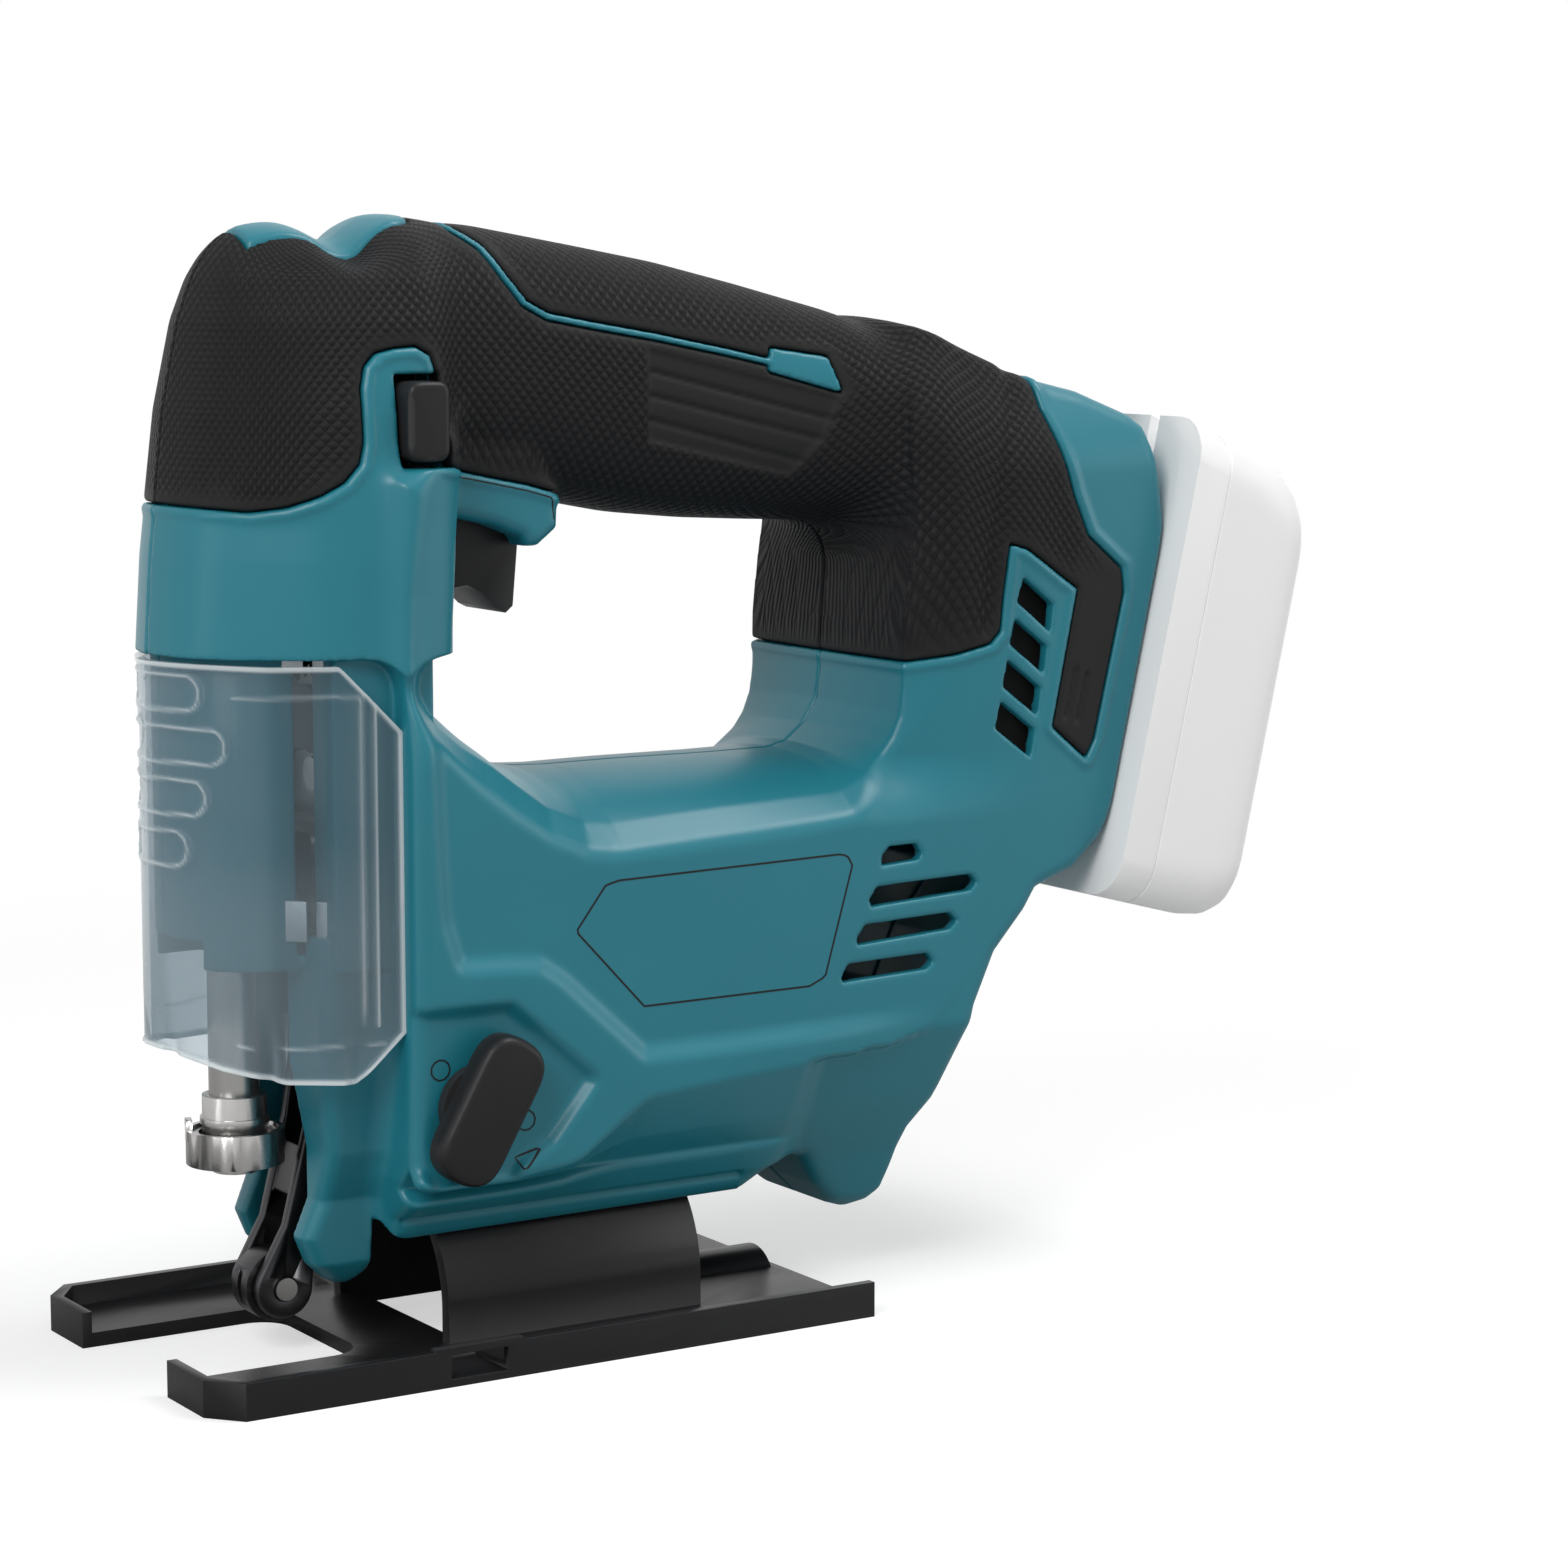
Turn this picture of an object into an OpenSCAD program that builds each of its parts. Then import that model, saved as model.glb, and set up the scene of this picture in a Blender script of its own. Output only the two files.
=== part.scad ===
// Cordless jigsaw: a clamshell housing on a tilting shoe, with its motor, gear, plunger,
// orbital fork and slide-on battery pack, each piece in its own module.
// X runs back along the cut, Y to the tool's right, Z up from the sole.

/* [Shoe] */
// Length of the shoe along the cut
shoe_len = 129; // [126:1:140]
// Width of the shoe across the cut
shoe_w = 77; // [77:1:90]
// Thickness of the shoe's floor
floor_t = 2.6; // [2:0.1:2.8]
// Height of the rim that stiffens the shoe
rim_h = 6.4; // [5:0.2:6.6]
// Thickness of the rim
rim_t = 1.8; // [1.2:0.1:2.4]
// Half width of the blade notch
notch_half = 18; // [17:0.5:20]
// Depth of the blade notch from the front edge
notch_len = 37; // [36:0.5:44]
// Height of the tilt axis above the sole
tilt_z = 8; // [7.5:0.1:8.5]
// Outer radius of the saddle that the housing tilts on
saddle_r = 22.5; // [21.5:0.1:23]
// Wall of the saddle
saddle_t = 2.6; // [2:0.1:3]
// Front end of the saddle
saddle_x0 = 51; // [50:1:56]
// Rear end of the saddle
saddle_x1 = 102; // [96:1:104]

/* [Housing] */
// Width of the flat flanks
flank_w = 63; // [62:1:66]
// Width of the head above the dust cover
head_w = 57; // [56:1:59]
// Height of the head above the sole
head_top = 197.5; // [195:0.5:202]
// Foremost point of the head
nose_x = 5.5; // [4.8:0.1:6.5]
// Width of the handle grip
grip_w = 35; // [32:1:40]
// Wall of the two housing shells, with the rubber on them
wall = 3.2; // [2.8:0.1:3.6]
// Thickness of the rubber skin
skin_t = 1.3; // [1:0.1:1.6]
// How far the knob panel stands out from the flank
panel_t = 1.7; // [1.2:0.1:2]

/* [Dust cover] */
// Wall of the clear dust cover
cover_t = 1.6; // [1.2:0.1:2]
// Lower edge of the dust cover
cover_z0 = 51.5; // [49:0.5:56]
// Upper edge of the dust cover
cover_z1 = 122.6; // [118:0.2:122.8]

/* [Drive] */
// Distance of the plunger's axis from the front edge of the shoe
plunger_x = 21.5; // [21:0.1:22]
// Diameter of the plunger
plunger_d = 8.8; // [8:0.1:9.4]
// Stroke of the plunger
stroke = 26; // [20:1:26]
// Height of the crank gear's axis
gear_z = 101; // [100.5:0.5:102]
// Teeth on the crank gear
gear_teeth = 36; // [34:1:37]
// Teeth on the motor pinion
pinion_teeth = 9; // [9:1:10]
// Tooth module
tooth_m = 1; // [0.95:0.01:1.02]
// Face width of the gears
gear_face = 5; // [4:0.2:5.4]
// Diameter of the motor can
can_d = 35; // [33:0.5:36]
// Length of the motor can
can_len = 50; // [44:1:52]
// Diameter of the blade clamp ring
ring_d = 17; // [15.5:0.5:17.5]

/* [Orbital fork] */
// Diameter of the guide roller
roller_d = 12.6; // [11:0.1:13]
// Width of the guide roller
roller_w = 6; // [5:0.2:7]
// Thickness of each fork arm
fork_t = 2.2; // [1.8:0.1:2.6]

/* [Controls] */
// Length of the orbital knob's grip
knob_len = 28; // [26:1:32]
// Width of the orbital knob's grip
knob_w = 13.5; // [12:0.5:15]
// Travel of the trigger
trigger_travel = 6; // [4:0.5:6]
// Travel of the lock-off button
lock_travel = 3.5; // [2.5:0.5:4]

/* [Battery pack] */
// Lean of the battery face from upright, in degrees
lean = 13; // [12:0.5:14]
// Width of the battery pack
pack_w = 74; // [70:1:76]
// Height of the pack along its rails
pack_h = 91; // [87:1:94]
// Thickness of the pack behind the rail face
pack_t = 31.5; // [30:0.5:35]
// Wall of the pack's case
pack_wall = 2; // [1.6:0.1:2.4]
// Diameter of one battery cell
cell_d = 18.4; // [17:0.1:18.6]

/* [Hidden] */

eps = 0.08;
gap = 0.3;              // clearance between pieces that move past each other
run = 0.05;             // radial running fit of a shaft in its bush
round_fn = 64;          // facets asked of round parts that carry or turn

shoe_half = shoe_w / 2;
flank_half = flank_w / 2;
head_half = head_w / 2;
grip_half = grip_w / 2;
seam_z = cover_z1 + 0.7;          // underside of the head, on the dust cover
flank_x = 40.4;                   // front face of the flanks, behind the dust cover
cover_half = head_half + 0.1;
column_half = cover_half - cover_t - 1.5;
ring_z = 34.4;                    // underside of the clamp ring, plunger at its lowest
ring_h = 6;
collar_h = 6;
ring_top = ring_z + ring_h + collar_h;
column_z0 = ring_top + stroke + 2.5;
belly_z = 34;                     // underside of the flanks
crank_r = stroke / 2;
gear_r = tooth_m * gear_teeth / 2;
pinion_r = tooth_m * pinion_teeth / 2;
motor_z = gear_z - gear_r - pinion_r;
floor_z = motor_z + can_d / 2 + wall + 0.9;     // bottom of the hand opening
plate_x = flank_x + wall + 0.2;   // front face of the gear case plate
plate_t = 3.2;
gear_x = plate_x - gear_face - 1.1;
can_x = plate_x + plate_t + 7;    // front face of the motor can
yoke_z = gear_z - crank_r;        // middle of the yoke, plunger at its lowest
fork_half = roller_w / 2 + 0.4 + fork_t;
roller_x = plunger_x + roller_d / 2 + 0.2;
roller_z = 12;
pivot_x = plate_x - 5;
pivot_z = 52;
knob_x = 52;
knob_z = 46.3;
knob_y = -flank_half - panel_t - 0.35;
lock_x = 45.7;
lock_z = 162.5;
pack_x = 186;
pack_z = 84;
pack_low = -13;                   // lower end of the pack, along its rails
pack_half = pack_w / 2;
pack_flat = 60 + (pack_h - 87);   // top of the pack's flat back
back_x = pack_x + pack_t * cos(lean) + pack_flat * sin(lean);
mid_x = back_x / 2;

// Moves everything so that the origin is under the middle of the whole tool.
module place() translate([-mid_x, 0, 0]) children();

// Joins each child with the next one by its convex hull.
module chain() for (i = [0 : $children - 2]) hull() { children(i); children(i + 1); }

// A thin upright section across the tool at x; 2D x is Y and 2D y is Z.
module sec_x(x) translate([x, 0, 0]) rotate([90, 0, 90]) linear_extrude(eps) children();

// A thin level section at height z.
module sec_z(z) translate([0, 0, z]) linear_extrude(eps) children();

// Extrudes a side outline, 2D x along X and 2D y along Z, between y0 and y1.
module side(y0, y1) translate([0, y1, 0]) rotate([90, 0, 0]) linear_extrude(y1 - y0) children();

module along_y(y0, y1, r, fn = round_fn) translate([0, y0, 0]) rotate([-90, 0, 0])
    cylinder(h = y1 - y0, r = r, $fn = fn);

module along_x(x0, x1, r, fn = round_fn) translate([x0, 0, 0]) rotate([0, 90, 0])
    cylinder(h = x1 - x0, r = r, $fn = fn);

module mirrored_y() { children(); mirror([0, 1, 0]) children(); }

// Rounds the corners of a 2D shape by r and grows it by g.
module soft(r, g) offset(r = r + g, $fn = 20) offset(delta = -r) children();

module block(x0, x1, y0, y1, z0, z1) translate([x0, y0, z0]) cube([x1 - x0, y1 - y0, z1 - z0]);

// ---- housing form -------------------------------------------------------------------

// Rows down the head's face: drop from the top, setback of the nose, inset of each side.
head_rows = [[0, 22.6, 17], [2, 16.4, 13], [7.8, 11.2, 8.5], [18.5, 6.8, 4.6], [33.4, 3.8, 2.2],
    [48.4, 2.1, 0.8], [58, 1.1, 0.2], [head_top - seam_z, 0, 0]];

module head_plan(row, g) {
    half = head_half - row[2];
    back = 56 - nose_x - row[1];
    translate([nose_x + row[1], 0]) soft(4, g)
        polygon([[0, -0.12 * half], [3.2, -0.33 * half], [8, -0.65 * half], [14.5, -0.88 * half],
            [24.5, -half], [back, -half], [back, half], [24.5, half], [14.5, 0.88 * half],
            [8, 0.65 * half], [3.2, 0.33 * half], [0, 0.12 * half]]);
}

module head_form(g) hull() for (i = [0 : len(head_rows) - 1])
    sec_z(head_top - head_rows[i][0] + (i == 0 ? g : 0)) head_plan(head_rows[i], g);

module oval(z0, z1, half, g) translate([0, (z0 + z1) / 2]) offset(r = g)
    scale([half, (z1 - z0) / 2]) circle(r = 1, $fn = 28);

// Handle rows: x, underside, top and how much wider than the grip each side is.
module handle_form(g) chain() {
    sec_x(50) oval(152, head_top - 3.4, grip_half - 1.5, g);
    sec_x(71) oval(148.5, head_top - 2.9, grip_half, g);
    sec_x(96) oval(144.3, head_top - 6.8, grip_half, g);
    sec_x(122) oval(142, head_top - 12.6, grip_half + 0.5, g);
    sec_x(139.4) oval(138.5, head_top - 17.2, grip_half + 4, g);
    sec_x(153) oval(122, head_top - 21.6, grip_half + 8.5, g);
    sec_x(171) oval(118, head_top - 30, grip_half + 11, g);
}

module tower_sec(x, z0, z1, half, cut, g) sec_x(x) soft(5, g)
    polygon([[-half, z0 + cut], [-half + cut, z0], [half - cut, z0], [half, z0 + cut],
        [half, z1 - cut], [half - cut, z1], [-half + cut, z1], [-half, z1 - cut]]);

module tower_form(g) chain() {
    tower_sec(140.6 - min(g, 0), 97, 138, 18.5, 4, g);
    tower_sec(144.2 - min(g, 0) / 2, 86, 150, 23.5, 7, g);
    tower_sec(151.2, 72, 166, 27.5, 12, g);
    tower_sec(162.6, 70, 168, flank_half - 1, 12, g);
    tower_sec(178, 76.6, 163, flank_half, 7, g);
    tower_sec(187, 88.5, 149, flank_half, 6, g);
    tower_sec(196, 121, 142.5, flank_half, 5.5, g);
    tower_sec(199.2, 133.5, 139, flank_half, 2.4, g);
}

// A section of the lower body: level crest, sloping shoulders, flat flanks.
module belly_sec(x, crest, crest_half, shoulder, bottom, g) sec_x(x) soft(3, g)
    polygon([[-crest_half / 2, crest], [crest_half / 2, crest],
        [crest_half, crest - 0.16 * crest_half], [flank_half, shoulder],
        [flank_half, bottom + 3], [flank_half - 6, bottom], [6 - flank_half, bottom],
        [-flank_half, bottom + 3], [-flank_half, shoulder], [-crest_half, crest - 0.16 * crest_half]]);

module belly_form(g) chain() {
    belly_sec(flank_x - min(g, 0), 124, 25, 114, belly_z, g);
    belly_sec(47, 117, 22, 106, belly_z, g);
    belly_sec(57, 109, 15, 95, belly_z, g);
    belly_sec(69, floor_z, 13, 87, belly_z, g);
    belly_sec(112, floor_z, 13, 87, belly_z, g);
    belly_sec(130, floor_z, 13, 88, belly_z + 6, g);
    belly_sec(136.5, floor_z + 2, 15, 90, belly_z + 10, g);
    belly_sec(147, 110, 21, 97, 50.5, g);
    belly_sec(170, 112, 24, 100, 74, g);
}

// The post between the dust cover and the hand opening.
module pillar_form(g) hull() {
    sec_x(flank_x - min(g, 0)) soft(3, g) square([head_w - 2, 110], center = true);
    sec_x(45) soft(3, g) square([head_w - 6, 110], center = true);
    sec_x(50) soft(3, g) square([head_w - 20, 110], center = true);
}

module pillar(g) intersection() {
    translate([0, 0, 105]) pillar_form(g);
    side(-40, 40) polygon([[30, 95], [58, 95], [50.5 + min(g, 0), 116], [50.5 + min(g, 0), 124],
        [52.5 + min(g, 0), 134], [57 + min(g, 0), 152], [30, 152]]);
}

// The column behind the dust cover, which carries the plunger's bushes.
module column_form(g) translate([0, 0, column_z0 + min(g, 0)]) linear_extrude(seam_z + 2 - column_z0 - min(g, 0))
    column_plan(g);

module column_plan(g) hull() {
    translate([nose_x + 20.5, 0]) circle(r = 17 + g, $fn = 40);
    translate([29, -column_half - g]) square([17, 2 * (column_half + g)]);
}

module form(g) {
    head_form(g);
    handle_form(g);
    tower_form(g);
    belly_form(g);
    pillar(g);
    column_form(g);
}

// The keel under the flanks, rounded over the saddle.
module keel() difference() {
    chain() {
        sec_x(44.5) keel_plan(21);
        sec_x(111.5) keel_plan(21.2);
        sec_x(119) keel_plan(26);
        sec_x(130) keel_plan(28);
    }
    translate([0, 0, tilt_z]) along_x(40, 116, saddle_r + 0.5);
}

module keel_plan(z) polygon([[-25, belly_z + 4], [-25, belly_z], [z - 40, z], [40 - z, z], [25, belly_z],
    [25, belly_z + 4]]);

module foot_sec(z, x0, x1, half) sec_z(z) translate([x0, -half]) soft(2, 0) square([x1 - x0, 2 * half]);

module foot() chain() {
    foot_sec(12.4, 138.5, 145.5, 11);
    foot_sec(16, 135.5, 149.5, 14);
    foot_sec(25, 129.5, 151.5, 17);
    foot_sec(37, 124, 149, 25);
    foot_sec(52, 118, 147, flank_half - 1);
}

module lug_sec(z, x0, x1, y0, y1) sec_z(z) translate([x0, y0]) square([x1 - x0, y1 - y0]);

// One of the two lugs that flank the fork, up to the cheek beside the blade clamp.
module lug() chain() {
    lug_sec(13.2, 33.8, 38, 9.8, 11.6);
    lug_sec(17.6, 29.2, 42, 9.8, 15.4);
    lug_sec(22.5, 27.2, 45, 9.8, 15.4);
    lug_sec(29, 30, 46, 9.8, 15.8);
    lug_sec(38, 30, 46, 9.8, 21);
    lug_sec(54, 26, 46, 12, column_half - 1.4);
    lug_sec(column_z0 + 1, 26, 46, 20, column_half - 1.4);
}

// The lobe under the handle that holds the top of the trigger.
module trigger_guard() side(-14.5, 14.5) polygon([[46, 158], [72, 156], [81, 147.4], [80, 145],
    [76, 140], [74.4, 139.9], [72, 143.8], [60, 146], [46, 148.3]]);

knob_panel = [[41, belly_z + 1.6], [41, 69], [61, 69], [82, 51], [118, 51], [124, 60], [146, 60],
    [146, 52], [120, 38], [112, belly_z + 1.6]];

// Panel that stands out around the knob and along the lower flank.
module flank_panel() difference() {
    side(flank_half - 3, flank_half + panel_t) polygon(knob_panel);
    translate([0, flank_half + panel_t, belly_z + 1.6]) rotate([45, 0, 0])
        cube([400, 1.6, 1.6], center = true);
}

// Region of the side view that carries rubber.
grip_region = [[-5, 149], [22, 147.6], [28, 150.5], [35, 157], [36, 172], [40, 175], [46, 175],
    [50, 170], [50, 155.5], [72, 152.4], [81.5, 147.8], [84, 139], [112, 126], [116, 120.5], [128, 118.2],
    [145, 116], [158, 118], [163, 139], [176, 129], [188, 136], [181, 145], [176, 156], [172, 172],
    [150, head_top + 12.5], [-5, head_top + 12.5]];

module rubber(g) intersection() {
    difference() { form(g); form(-skin_t); }
    side(-50, 50) polygon(grip_region);
}

vent_z = [124, 115.5, 107, 99.5];       // rear vents, up the flank
slot_z = [82, 75, 68.5, 62];            // exhaust slots beside the fan
slot_x = [[134.5, 142], [132, 155.5], [129.5, 151], [127, 145]];

module side_slot(x0, x1, z, h) side(-50, 50) polygon([[x0, z - h], [x1, z], [x1 + 0.8, z + h],
    [x0 + 0.8, z]]);

module screw_spots() for (p = screw_xz) translate([p[0], 0, p[1]]) children();

head_y = 14;                       // seat of the screw heads
head_r = 3;
screw_xz = [[34, 138], [42, head_top - 18.7], [113.3, head_top - 31.5], [153.4, 100.4],
    [150.6, 149.6], [122.5, 44], [159.5, 84], [64, 47], [98, 47]];
screw_r = 1.6;
boss_r = 4.4;

// Everything that is cut out of the housing.
module housing_cuts() {
    intersection() {                                        // inside of the shells
        form(-wall);
        side(-50, 50) polygon([[nose_x, 20], [pack_x - wall - 16, 20], [pack_x - wall - 2, 78],
            [pack_x - wall + 14, 146], [172, 200], [nose_x, 200]]);
    }
    intersection() { rubber(2); form(2); }                  // seat of the rubber skin
    block(30, 50, -9.4, 9.4, 20, 62);                       // slot of the orbital fork
    translate([plunger_x, 0, 20]) cylinder(h = 60, r = ring_d / 2 + 2, $fn = 48);
    block(-5, 36, -12, 12, 20, column_z0);                  // space of the blade clamp
    block(54.4, 75.8, -8, 8, 139, 160);                     // trigger opening
    lock_hole(4.1, 7.2);
    translate([knob_x, 0, knob_z]) along_y(-50, -20, 5.4, 40);
    for (z = vent_z) side(-50, 50) translate([169.5 - (124 - z) * 0.2, z])
        polygon([[-3.4, 0.6], [3.6, -4.2], [3.6, 1.4], [-3.4, 6.2]]);
    for (i = [0 : 3]) side_slot(slot_x[i][0], slot_x[i][1], slot_z[i], 1.6);
    batt() block(-20, 1, -29, 29, 0, 54);                   // opening for the rail plate
    batt() block(0, 40, -50, 50, -60, 120);                 // flat rear face
    translate([0, 0, motor_z]) along_x(flank_x - 6, plate_x, pinion_r + 2.4, 32);
    block(anchor_x - 7.2, anchor_x + 7.2, -7.2, 7.2, belly_z - 2.2, belly_z + 8);
    translate([anchor_x, 0, 20]) cylinder(h = 20, r = 3.2, $fn = 32);
    screw_spots() along_y(-boss_depth - 1, 50, screw_r + 0.1, 20);
    screw_spots() along_y(head_y, 50, head_r, 24);
}

// Opening for the lock-off button's pad on the left and for its bolt right through.
module lock_hole(hx, hz) {
    block(lock_x - hx, lock_x + hx, -50, -8, lock_z - hz, lock_z + hz);
    block(lock_x - 3.3, lock_x + 3.3, -9, 50, lock_z - 4.3, lock_z + 4.3);
}

boss_depth = 9;
anchor_x = 76;

module screw_bosses() intersection() {
    screw_spots() along_y(-50, 50, boss_r, 24);
    form(-wall / 2);
}

module housing(s) color("teal") intersection() {
    union() {
        difference() {
            union() {
                form(0);
                keel();
                foot();
                mirrored_y() lug();
                mirrored_y() flank_panel();
                trigger_guard();
            }
            housing_cuts();
        }
        difference() {
            screw_bosses();
            screw_spots() along_y(-boss_depth, 50, screw_r + 0.1, 20);
            screw_spots() along_y(head_y, 50, head_r, 24);
        }
    }
    translate([-50, s < 0 ? -60 : 0, -10]) cube([400, 60, 300]);
}

module left_housing() housing(-1);
module right_housing() housing(1);

module grip(s) color([0.05, 0.05, 0.05]) difference() {
    rubber(0);
    translate([-50, s < 0 ? 0 : -60, -10]) cube([400, 60, 300]);
    block(54.4, 75.8, -8, 8, 139, 160);
    lock_hole(5, 9);
    top_pocket(0.1);
    screw_spots() along_y(head_y, 50, head_r, 24);
}

module left_grip() grip(-1);
module right_grip() grip(1);

// Plastic inlay on top of the head.
module top_pocket(g) intersection() {
    head_form(2);
    translate([0, 0, head_top - 14]) linear_extrude(20)
        translate([24, 0]) soft(5, g) polygon([[0, -7], [0, 7], [20, 10], [30.2, 10], [30.2, -10], [20, -10]]);
}

module top_insert() color("teal") difference() {
    intersection() { head_form(0); top_pocket(0); }
    head_form(-skin_t);
}

// ---- dust cover ---------------------------------------------------------------------

module cover_plan(g) intersection() {
    head_plan([0, 0, -0.1], g);
    translate([-10, -50]) square([flank_x - gap + 10, 100]);
}

module dust_cover() color([0.85, 0.88, 0.9, 0.4]) intersection() {
    difference() {
        translate([0, 0, cover_z0]) linear_extrude(cover_z1 - cover_z0) difference() {
            cover_plan(0);
            translate([0, 0]) cover_plan(-cover_t);
            translate([flank_x - 8, -cover_half + cover_t]) square([20, 2 * (cover_half - cover_t)]);
        }
        for (i = [0 : 3]) block(-2, 12 - 2 * i, -30, -12, cover_z1 - 8 - 9 * i, cover_z1 - 7.4 - 9 * i);
    }
    side(-50, 50) polygon([[-5, cover_z0 + 8], [nose_x + 6, cover_z0 + 2], [nose_x + 16, cover_z0],
        [31, cover_z0], [flank_x, cover_z0 + 8], [flank_x, cover_z1 - 9], [30, cover_z1], [-5, cover_z1]]);
}

// ---- shoe ---------------------------------------------------------------------------

module shoe_outline() difference() {
    hull() {
        translate([5, -shoe_half]) square([shoe_len - 7, shoe_w]);
        translate([0, -shoe_half + 6]) square([shoe_len - 1, shoe_w - 12]);
        translate([shoe_len - 3, -shoe_half]) square([3, shoe_w]);
    }
    translate([-10, -notch_half]) square([10 + 17, 2 * notch_half]);
    hull() {
        translate([notch_len - 6, notch_half - 6]) circle(r = 6, $fn = 40);
        translate([notch_len - 6, 6 - notch_half]) circle(r = 6, $fn = 40);
        translate([10, -notch_half]) square([8, 2 * notch_half]);
    }
}

module rim_band() difference() {
    hull() {
        translate([5, -shoe_half]) square([shoe_len - 5, shoe_w]);
        translate([0, -shoe_half + 6]) square([shoe_len, shoe_w - 12]);
    }
    hull() {
        translate([5 + rim_t / 2, rim_t - shoe_half]) square([shoe_len, shoe_w - 2 * rim_t]);
        translate([rim_t, rim_t - shoe_half + 6]) square([shoe_len, shoe_w - 2 * rim_t - 12]);
    }
    translate([-10, -notch_half]) square([17, 2 * notch_half]);
}

module saddle_shell(r0, r1, x0, x1) translate([0, 0, tilt_z]) difference() {
    union() {
        along_x(x0, x1, r1);
        block(x0, x1, -r1, r1, 0.1 - tilt_z, 0);
    }
    along_x(x0 - 1, x1 + 1, r0);
    block(x0 - 1, x1 + 1, -r0, r0, -tilt_z - 1, 0);
    block(x0 - 1, x1 + 1, -r1 - 1, r1 + 1, -tilt_z - 20, 0.1 - tilt_z);
}

module shoe() color([0.07, 0.07, 0.075]) difference() {
    union() {
        linear_extrude(floor_t) shoe_outline();
        linear_extrude(rim_h) rim_band();
        mirrored_y() block(40, 57, shoe_half - rim_t, shoe_half, 1, rim_h + 0.5);
        saddle_shell(saddle_r - saddle_t, saddle_r, saddle_x0, saddle_x1);
        translate([0, 0, floor_t - 4.4]) intersection() {
            along_x(saddle_x1 - 1, shoe_len - 1.6, 7.5);
            block(saddle_x1 - 1, shoe_len, -8, 8, 4.2, 12);
        }
    }
    block(saddle_x0 + 3, saddle_x1 - 3, saddle_t - saddle_r, saddle_r - saddle_t, -1, floor_t + 1);
    translate([anchor_x, 0, tilt_z]) rotate([0, 90, 0]) rotate([0, 0, 180 - 54])
        rotate_extrude(angle = 108, $fn = round_fn) translate([saddle_r - saddle_t - 1, -3])
            square([saddle_t + 2, 6]);
    mirrored_y() block(43, 54, shoe_half - rim_t - 1, shoe_half + 1, 1.4, 1.4 + fence_h);
    mirrored_y() block(43, 54, shoe_half - 12, shoe_half + 1, 1.4, floor_t + 3);
}

fence_h = 3.2;      // height of the window for a rip fence

// Curved plate under the saddle that the bolt pulls up.
module shoe_clamp() color("dimgray") difference() {
    translate([0, 0, tilt_z]) intersection() {
        difference() {
            along_x(anchor_x - 9, anchor_x + 9, saddle_r - saddle_t - gap / 3);
            along_x(anchor_x - 10, anchor_x + 10, saddle_r - saddle_t - 4);
        }
        block(anchor_x - 10, anchor_x + 10, -7, 7, 10, 30);
    }
    translate([anchor_x, 0, 0]) cylinder(h = 60, r = 2.7, $fn = round_fn);
}

clamp_z = tilt_z + saddle_r - saddle_t - 4;

module shoe_bolt() color("silver") difference() {
    translate([anchor_x, 0, 0]) union() {
        translate([0, 0, clamp_z - 5.2]) cylinder(h = 4.6, r = 4.3, $fn = round_fn);
        translate([0, 0, clamp_z - 1]) cylinder(h = belly_z + 5 - clamp_z, r = 2.5, $fn = round_fn);
    }
    translate([anchor_x, 0, clamp_z - 6]) cylinder(h = 3, r = 2.3, $fn = 6);
}

module anchor_block() color("silver") difference() {
    block(anchor_x - 7, anchor_x + 7, -7, 7, belly_z - 2, belly_z + 7.8);
    translate([anchor_x, 0, 0]) cylinder(h = 80, r = 2.55, $fn = round_fn);
}

// ---- gear train and plunger ---------------------------------------------------------

bush_h = 7;
bush_r = plunger_d / 2 + 2.2;
lower_z = column_z0 + 0.5;
upper_z = gear_z + crank_r + 7;

// A block that carries one bush, tied back to the plate by two arms beside the gear.
module bush_carrier(z) difference() {
    intersection() {
        bush_frame(z);
        linear_extrude(200) column_plan(-wall - gap);
    }
    translate([plunger_x, 0, z - 1]) cylinder(h = bush_h + 2, r = bush_r, $fn = round_fn);
}

module bush_frame(z) {
    block(plunger_x - 7, plunger_x + 6.4, -11, 11, z, z + bush_h);
    mirrored_y() block(plunger_x - 4, plate_x + 0.1, arm_y, 30, z, z + bush_h);
    mirrored_y() block(plunger_x, plunger_x + 5, 10, 30, z, z + bush_h);
}

arm_y = gear_r + 2.6;               // inner side of the carrier's arms, outside the gear

module gear_case() color("lightgray") difference() {
    union() {
        block(plate_x, plate_x + plate_t, -22.2, 22.2, 62, 106);
        block(plate_x, plate_x + plate_t, -18.4, 18.4, 105, upper_z + bush_h);
        block(plate_x, plate_x + plate_t, -9, 9, 44, 63);
        bush_carrier(lower_z - 0.3);
        bush_carrier(upper_z);
        translate([0, 0, motor_z]) along_x(plate_x, plate_x + plate_t + 5, 9.5);
        mirrored_y() block(pivot_x - 4.2, plate_x + 0.1, fork_half + 0.5, fork_half + 2, 44, 58);
    }
    translate([0, 0, motor_z]) along_x(plate_x - 1, plate_x + 20, 8);
    translate([0, 0, gear_z]) along_x(plate_x - 1, plate_x + 20, 3);
    translate([pivot_x, 0, pivot_z]) along_y(-20, 20, 2);
}

module gear_axle() color("silver") translate([0, 0, gear_z]) along_x(gear_x - 0.8, plate_x + plate_t, 3);

// Half the angle that an involute tooth fills at radius r.
function inv(a) = tan(a) - a * PI / 180;
function tooth_half(n, r) = 90 / n - 0.16 / (tooth_m * n / 2) * 180 / PI + (inv(20)
    - (r > tooth_m * n / 2 * cos(20) ? inv(acos(tooth_m * n / 2 * cos(20) / r)) : 0)) * 180 / PI;

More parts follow.
